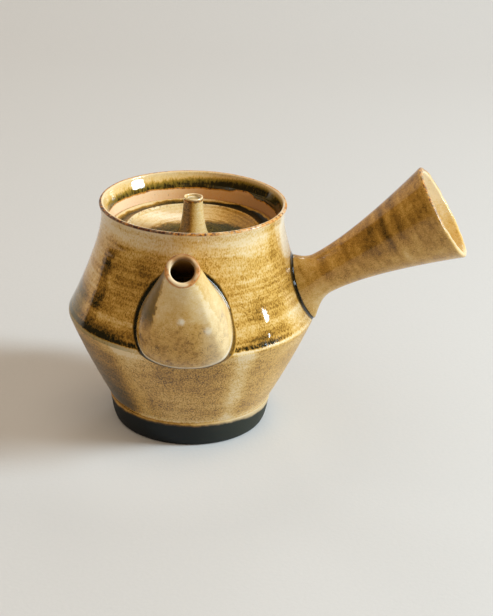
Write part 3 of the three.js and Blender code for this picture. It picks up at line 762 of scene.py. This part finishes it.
streaked = streaked + patches_round(UPPER_PATCHES) + spots(wall, UPPER_SPOTS)

# %% Thickness below the ridge
# Upright bands round the lower wall, by degrees: the lighter ones are painted highlights where the satin coat
# mirrors the table, and two slight darker ones flank the band at 29 degrees.
PAINTED_LOWER_BANDS = [(-0.2, (29, 1, 6)), (-0.12, (-29, 2, 8)), (0.04, (43, 4, 6)), (0.04, (16, 2, 6))]
# Painted light and shade below the ridge: rows one, two and four are painted highlights, row three is painted
# shade at the far left, and row five is painted shade under the spout.
PAINTED_LOWER_PATCHES = [
    (-0.14, (29, 2, 6), (37, 47)), (-0.098, (-33, 6, 6), (37, 47)), (0.17, (-80, 40, 18), (38, 26)),
    (-0.1, (-24, 6, 8), (33, 40)), (0.1, (2, 8, 14), (20, 40)),
]
LOWER_SPOTS = [(0.15, (-24.5, -22.8, 15), (13, 3))]
# Painted shade: the lower wall darkens towards the left, away from the lamp, and the thin line on the ridge
# dims there too.
shaded_left = wall.x.rise(0, -46)
painted_shade_low_left = shaded_left * wall.z.rise(RIDGE - 0.6, RIDGE - 6.6)
# Painted highlights on the roll of the ridge, to each side of the spout.
highlight_beside_spout = abs(bearing).near(26, 6, 6) * wall.z.near(RIDGE - 1.6, 0.7, 1.2)
plain = 0.38 + 0.04 * (fine_lines - 0.5) + 0.16 * (patches - 0.5) + 0.08 * (grain - 0.4)
plain = plain + 0.27 * painted_shade_low_left - 0.16 * highlight_beside_spout
plain = plain + sum(amount * bearing.near(*turn) for amount, turn in PAINTED_LOWER_BANDS)
plain = plain + patches_round(PAINTED_LOWER_PATCHES) + spots(wall, LOWER_SPOTS)

# %% Grain, the pool on the ridge and the thin edges
body = plain + upper * (streaked - plain) + 0.1 * (mottle - 0.5) + (0.16 + 0.05 * upper) * (grain - 0.4)
body = body + (0.38 - 0.2 * upper.most(wall.x.rise(0, 30))) * speckle(wall, 0.5)
flowed = wall.x.rise(0, -40) * bearing.rise(-72, -56)
level = wall.z - flowed
right_side = wall.x.rise(-5, 22)
away_from_handle = 1 - 0.8 * bearing.near(98, 40, 16)
seam = level.rise(RIDGE + 3.4, RIDGE + 1.8) * upper * away_from_handle
heavy_seam = 0.42 - 0.06 * right_side + (0.25 + 0.4 * right_side) * (runs - 0.5)
pool = level.rise(RIDGE + 7.4, RIDGE + 2.4) * upper * away_from_handle
pool = pool * (0.7 + 0.6 * (runs - 0.5)) * (0.3 + 0.3 * flowed + 0.1 * right_side)
edges = (0.26 - 0.16 * shaded_left) * wall.z.near(RIDGE + 0.9, 0.3, 0.5)
edges = edges + 0.2 * wall.z.rise(FOOT_TOP + 2.6, FOOT_TOP + 0.5)
edges = edges + 0.08 * wall.z.rise(FOOT_TOP + 4.1, FOOT_TOP + 1.7)
edges = edges + 0.12 * wall.z.rise(THROAT - 4, THROAT) + 0.15 * wall.z.rise(RIM_TOP - 2.5, RIM_TOP - 0.8)
outside = wall.ramp((body + heavy_seam * seam + 0.5 * pool - edges).least(0.97), ASH)

# %% [markdown]
# Two stretches of the wall leave the ramp. At the left, away from the spout, the glaze turns grey olive,
# also along the roll of the ridge. Beside the handle, under the rim, lies a milky veil that is a painted
# reflection of the backdrop.

# %% Grey olive at the left and a painted milky reflection at the right
GREY_OLIVE, MILKY_REFLECTION = (0.17, 0.16, 0.06), (0.9, 0.82, 0.66)
ashen = bearing.near(-105, 35, 12) * wall.z.rise(68, 54)
ashen_roll = bearing.near(-85, 50, 20) * wall.z.near(RIDGE + 0.4, 0.5, 0.5)
ashen = ashen.most(ashen_roll) * wall.z.rise(RIDGE - 1.1, RIDGE - 0.3)
# A painted reflection of the backdrop: a milky veil beside the handle, under the rim.
painted_reflection_veil = bearing.near(82, 7, 5) * wall.z.rise(75, 80)
outside = wall.blend(0.5 * painted_reflection_veil, wall.blend(0.6 * ashen, outside, GREY_OLIVE), MILKY_REFLECTION)

# %% [markdown]
# ## The collar
# Inside the collar the glaze is pale at the lip and pools dark above a rust line, with olive where it is
# neither. It is darker at the right, where it also comes lower. The clay below the rust line was wiped bare,
# so that the lid wouldn't stick in the kiln. Its colour carries painted light, paler at the lit left, and
# painted shade, darker at the shaded right, and it has a few iron specks.

# %% Glaze inside the collar
inside = 1 - wall.radius.rise(35.2, 36.2).most(wall.z.rise(LEDGE_TOP, LEDGE_TOP - 1))
deep = wall.noise(0.6, 1, (1.6, 1.6, 6), shift=6)
towards_right = wall.x.rise(-26, 16)
pooled = (wall.z - 1.4 * towards_right - 1.2 * wall.x.rise(5, 28)).rise(91.6, 88.2)
collar = 0.2 + (0.62 + 0.2 * towards_right) * pooled + 0.12 * (grain - 0.5)
collar = collar + 0.3 * (deep - 0.5) * wall.z.rise(92.6, 90.6)
olive = wall.blend(0.45 * collar.near(0.6, 0.1, 0.2), wall.ramp(collar.least(0.96), ASH), (0.2, 0.16, 0.02))
colour = wall.blend(inside * wall.z.rise(LEDGE_TOP, LEDGE_TOP + 1), outside, olive)

# %% Bare clay and rust
BARE_TOP = 87.25
edge = wall.z + 0.7 * (wall.noise(6, 2, shift=11) - 0.5) - 1.3 * wall.x.near(19, 2, 4)
# Painted light and shade on the bare clay: pale buff at the lit left, orange towards the middle and dark at
# the shaded right.
clay = wall.blend((0.2 * grain + 0.8 * wall.x.rise(-32, 8)).least(1), BUFF, (0.9, 0.48, 0.16))
clay = wall.blend(0.6 * wall.x.rise(6, 28), clay, (0.38, 0.17, 0.07))
clay = wall.blend(0.5 * wall.noise(0.9, 1, shift=5).rise(1.0, 1.15), clay, (0.2, 0.08, 0.03))
bare = inside * edge.rise(BARE_TOP + 0.15, BARE_TOP - 0.15) * wall.z.rise(75, 76)
colour = wall.blend(bare, colour, clay)
lip_line = (wall.radius + 0.4 * wall.y.rise(0, 25)).near(37.15, 0.38, 0.32)
lip_line = lip_line * wall.z.rise(RIM_TOP - 1.1, RIM_TOP - 0.7)
gaps = wall.noise(2.0, 2, shift=14).rise(0.6, 0.2)
lip_line = lip_line * (1 - (0.2 + 0.45 * wall.x.rise(-5, 20)) * gaps)
rust_mask = (inside * edge.near(BARE_TOP, 0.16, 0.3) * 0.9).most(lip_line)
orange_side = wall.x.rise(-15, 20).most(wall.y.rise(-8, 12))
colour = wall.blend(rust_mask, colour, rust(wall, 3, 0.15 - 0.42 * orange_side))

# %% [markdown]
# ## The wall's gloss
# The lower wall has a satin coat, the ridge a trace of it, and the upper wall is glassy. Two soft swellings
# on the right show where a finger paused, and they are what the window glints on. A third one, upright,
# lies at the back left of the collar. All of them are shallower than half a millimetre, so the Bump node
# carries them and the mesh stays as it was turned.

# %% Gloss and relief of the wall
satin = wall.z.rise(RIDGE + 1.5, RIDGE + 0.8) * wall.radius.rise(FOOT_RADIUS, FOOT_RADIUS + 0.6)
ridge = wall.z.near(RIDGE + 2, 0.9, 0.6) * wall.radius.rise(44, 46)
ripple = wall.noise(3.2, 1, (9, 9, 1), shift=1)
upright = wall.along((-23.9, 25.4, 90), (0.73, 0.684, 0)).near(0, 0, 6) * inside
relief = 0.03 * ripple + 0.004 * mottle + 0.015 * patches + 0.0015 * grain + 0.015 * ridge * runs
relief = relief + spots(wall, [(0.27, (31.9, -33.3, 57.0), (6.5, 0)), (0.1, (33.2, -35.8, 51.4), (2.6, 0))])
roughness = GLOSS + 0.6 * bare + 0.35 * lip_line + (0.26 * satin).most(0.06 * ridge)
coat(pot_wall, wall.done(colour, roughness, relief + 0.1 * upright))

# %% [markdown]
# ## Dark clay and bare clay
# The foot has a dark matte slip, cool and darkest at the left, with painted light that makes it a little
# greener and lighter at the right, and a painted highlight along its bottom edge. A thin amber line lies
# where the glaze stops, darker at the left as painted shade; on the right it turns to cream, partly as
# painted light. The inside of the foot is glazed like the rest of the pot. Bare clay is pinkish buff, with a
# fine grain and a few iron specks.

# %% Finish of the foot
def foot_finish():
    foot = Finish("foot_slip")
    grain = foot.noise(0.5, 3)
    cloud = foot.noise(6, 2, (2, 2, 1), shift=3)
    slip = foot.blend(0.5 * cloud + 0.5 * grain, (0.0022, 0.0038, 0.0046), (0.009, 0.0135, 0.0148))
    # Painted light: the slip is lighter and greener at the right.
    slip = foot.blend(foot.x.rise(-10, 34), slip, (0.025, 0.028, 0.018))
    # A painted highlight along the bottom edge.
    slip = foot.blend(foot.z.rise(0.5, 0.1) * grain.rise(0.5, 0.9), slip, (0.08, 0.075, 0.068))
    edge = foot.z + 0.7 * (foot.noise(3, 3, shift=8) - 0.5)
    edge = edge + 1.3 * foot.x.rise(16, 33) + 0.3 * foot.x.rise(-16, -33)
    # The glaze line is thicker at the left, as painted shade.
    thickness = 0.24 + 0.16 * foot.x.rise(10, -30) - 0.04 * foot.x.rise(4, 24)
    thickness = thickness + 0.46 * edge.rise(11.0, 9.8) + 0.16 * (grain - 0.5)
    # Cream at the right, partly painted light.
    glaze = foot.blend(0.65 * foot.x.rise(0, 22), foot.ramp(thickness, ASH), (0.50, 0.40, 0.25))
    glazed = edge.rise(9.2, 10.3).most(foot.radius.rise(31.5, 30.5) * foot.z.rise(3.5, 4))
    colour = foot.blend(glazed, slip, glaze)
    return foot.done(colour, 0.62 - 0.25 * glazed + 0.1 * grain, 0.012 * grain, specular=0.34)


coat(foot_band, foot_finish())

# %% Finish of the ledge and the skirt
def clay_finish():
    clay = Finish("bare_clay")
    grain = clay.noise(0.5, 3)
    rings = clay.noise(1.4, 2, (9, 9, 1), shift=2)
    colour = clay.blend(0.5 * rings, BUFF, (0.6, 0.33, 0.17))
    specks = clay.noise(0.9, 1, shift=5).rise(0.85, 1.0)
    colour = clay.blend(0.8 * specks, colour, (0.16, 0.06, 0.03))
    return clay.done(colour, 0.75 + 0.1 * grain, 0.03 * rings + 0.02 * grain)


bare_clay = clay_finish()
coat(lid_ledge, bare_clay)
coat(lid_skirt, bare_clay)

# %% [markdown]
# ## The spout's glaze
# The spout is paler than the wall, with olive specks low on its belly and a brown strip along its upper
# flanks, darkest at the left, which is a painted reflection of the dark room. Its lip is buff with a thin
# rust line, with painted shade in dark brown just inside, and a pale line of thin glaze at its seat is
# brightened as a painted highlight. Two small pale spots, each over a slight bump, are painted highlights
# where the window glints. Deep in the bore the glaze darkens as painted shade. A map laid along the rings
# of the skin tells the inside from the outside, where distance alone couldn't.

# %% Finish of the spout
SPOUT_EDGE_SHARE = (2 + len(edge_roll)) / (len(spout_rings) - 1)
SPOUT_INSIDE_SHARE = (2 + len(edge_roll) + len(spout_outside) + len(spout_lip) / 2) / (len(spout_rings) - 1)
# Two pale spots, each over a slight bump, painted as highlights where the window glints: strength, middle and
# size.
PAINTED_GLINTS = [(1.0, (-0.2, -60.6, 67.8), 2.2), (0.85, (9.8, -58.9, 63.8), 2.5)]


def spout_thickness(spout, from_mouth, inside, mottle, broad, grain):
    wobble = 1.6 * (mottle - 0.5)
    # The strips along the upper flanks are painted reflections of the dark room, the left one darker.
    left_dark_reflection = (spout.x - 0.25 * spout.z + wobble).rise(-27.2, -28.6) * spout.z.rise(60, 70)
    right_reflection = (spout.x + 0.5 * spout.z + wobble).rise(46.4, 47.4) * spout.z.rise(62, 68)
    low = spout.z.rise(76, 58)
    specks = 0.2 * mottle.rise(0.3, 1.0) * broad.rise(0.2, 0.8) + 0.34 * speckle(spout, 0.4, 2)
    thickness = 0.16 + 0.14 * (mottle - 0.5) + 0.16 * (broad - 0.5) + 0.18 * (grain - 0.5)
    thickness = thickness - 0.14 * spout.x.rise(0, 12) + low * (0.25 + specks) + 0.46 * left_dark_reflection + 0.2 * right_reflection
    # The last term darkens the glaze deep in the bore as painted shade.
    thickness = thickness - 0.08 * from_mouth.rise(-8, -1.5) + 0.8 * inside * from_mouth.rise(-2.5, -6)
    return thickness, left_dark_reflection


def spout_finish():
    spout = Finish("spout_glaze")
    from_mouth = spout.along(spout_mouth, pour)
    inside = spout.across().rise(SPOUT_INSIDE_SHARE, SPOUT_INSIDE_SHARE + 0.02)
    mottle = spout.noise(1.8, 4, shift=4)
    broad = spout.noise(7, 2, shift=8)
    grain = spout.noise(0.45, 2, shift=2)
    thickness, left_dark_reflection = spout_thickness(spout, from_mouth, inside, mottle, broad, grain)
    # The left strip's painted reflection is tinted brown.
    colour = spout.blend(0.7 * left_dark_reflection, spout.ramp(thickness, ASH), (0.15, 0.09, 0.004))
    colour = spout.blend(0.35 * spout.x.rise(5, 13) * (1 - inside), colour, (0.86, 0.75, 0.52))

    # The two pale spots below are painted highlights of the window, smeared a little.
    smear = 0.9 * (spout.noise(1.2, 2, shift=13) - 0.5)
    first, second = (
        strength * (spout.far(middle) + smear).rise(size, 0) for strength, middle, size in PAINTED_GLINTS
    )
    painted_glints = first.most(second)
    # A pale line of thin glaze along the seat, brightened as a painted highlight on the rolled edge.
    seat_highlight_line = spout.across().rise(SPOUT_EDGE_SHARE + 0.066, SPOUT_EDGE_SHARE + 0.045)
    seat_highlight_line = seat_highlight_line * (1 - inside) * spout.z.rise(60, 50)
    colour = spout.blend((0.75 * seat_highlight_line).most(0.95 * painted_glints), colour, (0.96, 0.87, 0.68))

    lifted = spout.z - 0.62 * from_mouth
    buff = (inside * from_mouth.rise(-3.5, -1.5)).most(from_mouth.rise(-0.7, -0.4))
    browned = lifted.rise(90, 93).most(0.6 * spout.x.rise(0, 5))
    colour = spout.blend(0.85 * buff, colour, spout.blend(browned, (0.88, 0.68, 0.42), (0.5, 0.24, 0.07)))
    # Painted shade in dark brown on the inside of the lip, at its top and its right.
    shaded_inside_lip = inside * lifted.rise(89.5, 91.8).most(0.8 * spout.x.rise(1, 4))
    colour = spout.blend(0.85 * shaded_inside_lip, colour, (0.22, 0.095, 0.022))
    iron = spout.noise(1.0, 2, shift=6).rise(0.5, 1.0).most(0.8 * lifted.rise(90.5, 93))
    line = from_mouth.near(-0.8, 0.26, 0.25) * (1 - inside)
    broken = 0.8 + 0.2 * spout.noise(1.6, 2, shift=6)
    colour = spout.blend(line * broken, colour, spout.blend(iron, (0.6, 0.23, 0.045), (0.24, 0.07, 0.012)))

    relief = 0.03 * broad + 0.004 * mottle + 0.0015 * grain + 0.1 * painted_glints
    roughness = GLOSS + 0.04 * mottle + 0.3 * left_dark_reflection.most(line.most(buff))
    return spout.done(colour, roughness, relief, specular=0.42)


coat(spout_tube, spout_finish())

# %% [markdown]
# ## The handle's glaze
# The handle's glaze is heavier, brown olive with faint lighter rings where the fingers passed, a heavier
# spot on its near side and a thinner one beside it. Its top is darker, a painted reflection of the dark
# room. The trumpet's lip is thin cream glaze with a rust line above, and its inside is pale, more golden
# towards the bottom.

# %% Finish of the handle
HANDLE_INSIDE_SHARE = (2 + len(handle_outside) + len(handle_lip) / 2) / (len(handle_rings) - 1)


def handle_finish():
    handle = Finish("handle_glaze")
    reach = handle.along(handle_root, handle_way)
    inside = handle.across().rise(HANDLE_INSIDE_SHARE, HANDLE_INSIDE_SHARE + 0.01)
    height = handle.z - 0.6 * handle.x
    mottle = handle.noise(1.2, 3, shift=3)
    patches = handle.noise(6, 2, shift=5)
    grain = handle.noise(0.45, 2, shift=1)
    rings = handle.rings(reach + 1.5 * handle.noise(9, 1, shift=7), 3.2)
    # The top of the handle is darkened as a painted reflection of the dark room; its rings show more there.
    top_with_dark_reflection = height.rise(24, 42) * (1 - inside)
    thin = 0.12 * reach.rise(15, 6) + 0.16 * reach.rise(HANDLE_LENGTH - 2.5, HANDLE_LENGTH - 0.8)
    thickness = 0.38 + (0.06 + 0.1 * top_with_dark_reflection) * (rings - 0.5) + 0.12 * (mottle - 0.5) + 0.2 * (patches - 0.5)
    thickness = thickness + 0.2 * (grain - 0.5) + 0.16 * speckle(handle, 0.4, 1) + 0.1 * top_with_dark_reflection
    thickness = thickness + spots(handle, [(0.13, (74, -14, 87), (12, 3)), (-0.1, (87, -18, 83), (8, 2))])
    thickness = thickness - thin * (1 - inside) - inside * (0.42 - 0.24 * height.rise(38, 22))
    colour = handle.ramp(thickness, ASH)
    cream = reach.rise(HANDLE_LENGTH - 0.9, HANDLE_LENGTH - 0.4) * (1 - inside)
    colour = handle.blend(0.6 * cream, colour, (0.86, 0.7, 0.44))
    line = reach.near(HANDLE_LENGTH - 0.7, 0.3, 0.35) * (1 - inside)
    line = line * (0.4 + 0.6 * handle.noise(2.0, 2, shift=9)) * (0.15 + 0.85 * height.rise(30, 44))
    colour = handle.blend(line, colour, rust(handle, 5))
    relief = 0.012 * rings + 0.015 * patches + 0.003 * mottle + 0.0015 * grain
    return handle.done(colour, GLOSS + 0.03 + 0.04 * mottle + 0.2 * line.most(cream), relief, specular=0.42)


coat(handle_tube, handle_finish())

# %% [markdown]
# ## The lid's glaze
# The lid is cream where the glaze is thin, with a dark ring pooled in its channel and a softer, streaked
# olive pool round the knob. At the left the thin glaze turns milky. The bead between the pools shows rust,
# and the part of the lid that rests on the ledge is bare clay.

# %% Finish of the lid
CHANNEL_RADIUS = 29.8


def lid_thickness(lid, mottle, streaks, pool):
    wander = lid.radius + 1.4 * (lid.noise(8, 2, shift=2) - 0.5)
    rings = lid.rings(wander, 2.2, 2)
    channel = wander.near(CHANNEL_RADIUS, 1.3, 1.3) * lid.z.rise(80.6, 81.2)
    # The glaze thickens towards the right as a painted shadow of the collar on the lid, and the channel
    # darkens there as painted shade.
    thickness = 0.26 + 0.12 * (mottle - 0.5) + 0.2 * (rings - 0.5) + 0.28 * lid.x.rise(0, 20)
    thickness = thickness + (0.46 + 0.2 * lid.x.rise(-20, 5)) * channel
    thickness = thickness + (0.5 + 0.24 * (streaks - 0.5)) * pool
    thickness = thickness + 0.14 * (lid.noise(0.45, 2, shift=6) - 0.5) + 0.12 * speckle(lid, 0.5, 7)
    return thickness, rings


def lid_finish():
    lid = Finish("lid_glaze")
    mottle = lid.noise(1.3, 3, shift=5)
    streaks = lid.noise(0.8, 1, shift=15)
    pool = (lid.far((2, -7, LEDGE_TOP)) + 1.6 * (lid.noise(3, 2, shift=9) - 0.5)).rise(23.5, 18.0)
    bead = lid.radius.near(BEAD_RADIUS, 0.4, 0.5)
    thickness, rings = lid_thickness(lid, mottle, streaks, pool)
    thickness = thickness - 0.1 * bead
    milky = thickness.rise(0.5, 0.2) * lid.x.rise(24, -6)
    colour = lid.blend(0.5 * milky, lid.ramp(thickness, ASH), (0.74, 0.64, 0.42))
    dark = lid.blend(streaks, (0.10, 0.085, 0.012), (0.018, 0.016, 0.004))
    colour = lid.blend(0.6 * pool, colour, dark)
    edge_line = lid.radius.near(LID_RADIUS - 0.4, 0.25, 0.3)
    rusty = (bead * lid.noise(1.4, 2, shift=12).rise(0.5, 0.8) * 0.5).most(edge_line * 0.4)
    colour = lid.blend(rusty * lid.z.rise(81.5, 82.0), colour, rust(lid, 4))
    bare = lid.z.rise(LID_SEAT + 0.5, LID_SEAT) * lid.radius.rise(26, 27)
    colour = lid.blend(bare, colour, BUFF)
    return lid.done(colour, 0.15 + 0.6 * bare, 0.012 * rings + 0.004 * mottle, specular=0.18)


coat(lid_dish, lid_finish())

# %% [markdown]
# ## The knob's glaze
# The knob is golden, with painted shade at its left and painted light at its right, a pale rolled rim
# and a rust line under it. Its dished top is buff, turning dark olive at the right.

# %% Finish of the knob
def knob_finish():
    knob = Finish("knob_glaze")
    mottle = knob.noise(0.9, 3, shift=2)
    grain = knob.noise(0.45, 2, shift=1)
    top = knob.z.rise(KNOB_TOP - 1.2, KNOB_TOP - 0.8)
    # Painted shade on the knob's left side.
    side = (knob.x + 0.3 * (mottle - 0.5)).rise(0.9, -1.7)
    thickness = 0.28 + 0.16 * (mottle - 0.5) + 0.2 * (grain - 0.5) + 0.2 * speckle(knob, 0.4, 4)
    # The last term lightens the right side as painted light.
    thickness = thickness + 0.12 * (knob.rings(knob.z, 0.8) - 0.5) - 0.16 * knob.x.rise(0.3, 2.5)
    colour = knob.ramp(thickness - 0.25 * top + 0.4 * side * (1 - top), ASH)
    dish = knob.radius.rise(KNOB_DISH - 0.1, KNOB_DISH - 0.6) * knob.z.rise(KNOB_TOP - 1.5, KNOB_TOP - 1.2)
    dish_colour = knob.blend(knob.x.rise(-0.5, 2.4), (0.55, 0.43, 0.19), (0.16, 0.12, 0.04))
    colour = knob.blend(dish * 0.8, colour, dish_colour)
    line = (knob.z + 0.5 * (mottle - 0.5)).near(KNOB_TOP - 1.4, 0.35, 0.3)
    line = line * knob.radius.rise(KNOB_DISH - 0.3, KNOB_DISH)
    colour = knob.blend(line * (0.7 + 0.3 * knob.noise(1.8, 2, shift=3)), colour, rust(knob, 6))
    return knob.done(colour, GLOSS + 0.05, 0.006 * mottle)


coat(knob_stem, knob_finish())

# %% [markdown]
# ## Pools and strainer
# The fillets are the thickest glaze on the pot. They are nearly black in the middle and clear to amber at
# their thin outer edge, where the map that was laid across them reads 0. The strainer has a thin, even
# coat.

# %% Finishes of the fillets and the strainer
def pooled_finish():
    deep = Finish("pooled_glaze")
    mottle = deep.noise(1.0, 2, shift=3)
    share = deep.across()
    thickness = 0.6 + 0.4 * share.rise(0.0, 0.16) - 0.3 * share.rise(0.56, 0.7) + 0.2 * (mottle - 0.5)
    thickness = thickness - 0.26 * deep.x.near(17, 5, 3) * deep.z.rise(76, 66)
    return deep.done(deep.ramp(thickness.least(1), ASH), 0.09, 0.002 * mottle)


def strainer_finish():
    pierced = Finish("strainer_glaze")
    mottle = pierced.noise(1.4, 3, shift=6)
    thickness = 0.38 + 0.2 * (mottle - 0.5) + 0.3 * speckle(pierced, 0.5, 3)
    return pierced.done(pierced.ramp(thickness, ASH), GLOSS + 0.1, 0.01 * mottle)


pooled_glaze = pooled_finish()
coat(spout_pool, pooled_glaze)
coat(handle_pool, pooled_glaze)
coat(strainer_dome, strainer_finish())

# %% [markdown]
# ## Table and backdrop
# The pot stands on a sheet of pale paper that curves up behind it. Its colour carries painted light, a
# little lighter round the pot to lift the shade round its foot, and it is darker near the lamp at the right,
# which evens out the light on it. The glaze mirrors what lies round the pot, so the near sheet ends where
# the table would, and a second sheet under it carries the floor on for the camera alone.

# %% Paper
TABLE_HALF, TABLE_FRONT, CURVE_START, CURVE_RADIUS, PAPER_TOP = 0.72, -0.74, 0.55, 0.6, 1.5
FAR_HALF, FAR_DROP = 6.0, 0.002


def paper_finish():
    paper = Finish("paper")
    fibre = paper.noise(1.5, 3)
    colour = paper.blend(fibre, (0.586, 0.573, 0.556), (0.602, 0.588, 0.570))
    colour = paper.blend(paper.x.rise(260, 800), colour, (0.27, 0.25, 0.225))
    # Painted light: a lighter patch round the pot lifts the shade round its foot.
    colour = paper.blend(0.9 * paper.far((-15, -15, 0)).rise(90, 35), colour, (0.69, 0.675, 0.655))
    return paper.done(colour, 0.9, 0.02 * fibre, specular=0.1)


def sheet(name, points, faces, material):
    mesh = bpy.data.meshes.new(name)
    mesh.from_pydata(points, [], faces)
    mesh.shade_smooth()
    mesh.materials.append(material)
    made = bpy.data.objects.new(name, mesh)
    bpy.context.scene.collection.objects.link(made)
    return made


def strip(name, line, half, drop, material):
    points = [(side * half, y, z - drop) for y, z in line for side in (-1, 1)]
    faces = [(2 * i, 2 * i + 1, 2 * i + 3, 2 * i + 2) for i in range(len(line) - 1)]
    return sheet(name, points, faces, material)


profile = [(TABLE_FRONT, 0.0), (CURVE_START, 0.0)]
profile += [
    (CURVE_START + CURVE_RADIUS * math.sin(t), CURVE_RADIUS * (1 - math.cos(t)))
    for t in np.linspace(0, math.pi / 2, 25)[1:]
]
profile.append((CURVE_START + CURVE_RADIUS, PAPER_TOP))
paper_material = paper_finish()
strip("table_paper", profile, TABLE_HALF, 0.0, paper_material)
far_paper = strip("far_paper", [(-FAR_HALF, 0.0), (FAR_HALF, 0.0)], FAR_HALF, FAR_DROP, paper_material)
far_paper.visible_glossy = far_paper.visible_diffuse = False

# %% [markdown]
# ## The dark room
# A glossy pot shows the room it stands in. A dark curved screen in front and a dark ceiling stand for that
# unlit room. They are what gives the upper wall its deep colour. The camera sees neither of them, and the
# ceiling is seen in the gloss alone, so it takes no light from the pot.

# %% Screen and ceiling
SCREEN_RADIUS, SCREEN_BOTTOM, SCREEN_TOP, SCREEN_TURN, CEILING_BACK = 2.6, -0.6, 1.35, 112, 1.3


def screen_finish():
    dark = Finish("dark_screen")
    return dark.done((0.035, 0.03, 0.026), 0.9, 0.1 * dark.noise(20), specular=0.0)


screen_material = screen_finish()
turns = np.radians(np.linspace(-SCREEN_TURN, SCREEN_TURN, 49))
screen_points = [
    (SCREEN_RADIUS * math.sin(t), -SCREEN_RADIUS * math.cos(t), z)
    for t in turns for z in (SCREEN_BOTTOM, SCREEN_TOP)
]
screen_faces = [(2 * i, 2 * i + 2, 2 * i + 3, 2 * i + 1) for i in range(len(turns) - 1)]
dark_screen = sheet("dark_screen", screen_points, screen_faces, screen_material)
dark_screen.visible_camera = False

ceiling_points = [(0, 0, SCREEN_TOP)]
for t in np.radians(range(-180, 181, 4)):
    reach = CEILING_BACK if abs(t) > math.radians(SCREEN_TURN) else SCREEN_RADIUS
    ceiling_points.append((reach * math.sin(t), -reach * math.cos(t), SCREEN_TOP))
ceiling_faces = [(0, i, i + 1) for i in range(1, len(ceiling_points) - 1)]
dark_ceiling = sheet("dark_ceiling", ceiling_points, ceiling_faces, screen_material)
dark_ceiling.visible_camera = dark_ceiling.visible_diffuse = dark_ceiling.visible_shadow = False
print("screen and ceiling:", len(screen_faces), "and", len(ceiling_faces), "faces")

# %% [markdown]
# ## Light
# A tall soft lamp on the right stands for a window: it gives the long shadow to the left and the glints in
# the glaze. A faint one behind glows in the lid. The world fills in from all round at a plain level, a
# little warmer.

# %% Lamps and world
def lamp(name, azimuth, elevation, distance, size, power, colour):
    light = bpy.data.lights.new(name, "AREA")
    light.shape, light.size, light.size_y = "RECTANGLE", size[0], size[1]
    light.energy, light.color = power, colour
    made = bpy.data.objects.new(name, light)
    bpy.context.scene.collection.objects.link(made)
    target = Vector((0, 0, 0.05))
    way = Vector(way_out(azimuth - 90, elevation))
    made.location = target + way * distance
    made.rotation_mode = "QUATERNION"
    made.rotation_quaternion = way.to_track_quat("Z", "Y")
    print(name, "at", [round(v, 2) for v in made.location], "m,", power, "W")


lamp(
    "window_lamp", azimuth=84, elevation=29, distance=1.35, size=(0.31, 0.72), power=25.2,
    colour=(0.71, 0.868, 0.985),
)
lamp(
    "back_lamp", azimuth=176, elevation=39, distance=1.2, size=(0.22, 0.15), power=0.72,
    colour=(0.92, 0.96, 1.0),
)

FILL_COLOUR, FILL_STRENGTH = (1.0, 0.84, 0.66, 1), 0.88
world = bpy.data.worlds.new("room")
bpy.context.scene.world = world
world.use_nodes = True
background = world.node_tree.nodes["Background"]
background.inputs["Color"].default_value = FILL_COLOUR
background.inputs["Strength"].default_value = FILL_STRENGTH
bpy.context.scene.view_settings.view_transform = "Standard"

# %% [markdown]
# ## Camera
# The camera stands 0.7 m from the pot and looks down at it by 23 degrees, with a slight roll. Its angles
# were fitted to the rim, the shoulder and the foot of the pot in the photograph. It is easiest to build as
# it would be set up: tilt it down from the horizon, roll it, and walk it round the pot by a degree or so.

# %% Placing the camera
CAMERA_TILT, CAMERA_ROLL, CAMERA_TURN = 23.44503, 1.745867, 1.4
CAMERA_AIM, CAMERA_DISTANCE = (22.52, 0, 47.952), 700
camera = bpy.data.objects.new("camera", bpy.data.cameras.new("camera"))
bpy.context.scene.collection.objects.link(camera)
camera.data.sensor_fit = "HORIZONTAL"
camera.data.sensor_width = 36.0
camera.data.lens = 124.81
camera.data.clip_start, camera.data.clip_end = 0.05, 20
turn = Matrix.Rotation(math.radians(CAMERA_TURN), 4, "Z")
tilt = Matrix.Rotation(math.radians(90 - CAMERA_TILT), 4, "X")
roll = Matrix.Rotation(math.radians(CAMERA_ROLL), 4, "Z")
aim_at = Matrix.Translation(Vector(CAMERA_AIM) * MM)
step_back = Matrix.Translation(Vector((0, 0, CAMERA_DISTANCE * MM)))
camera.matrix_world = turn @ aim_at @ tilt @ step_back @ roll
bpy.context.scene.camera = camera
print("camera at", [round(v, 3) for v in camera.matrix_world.translation], "m")
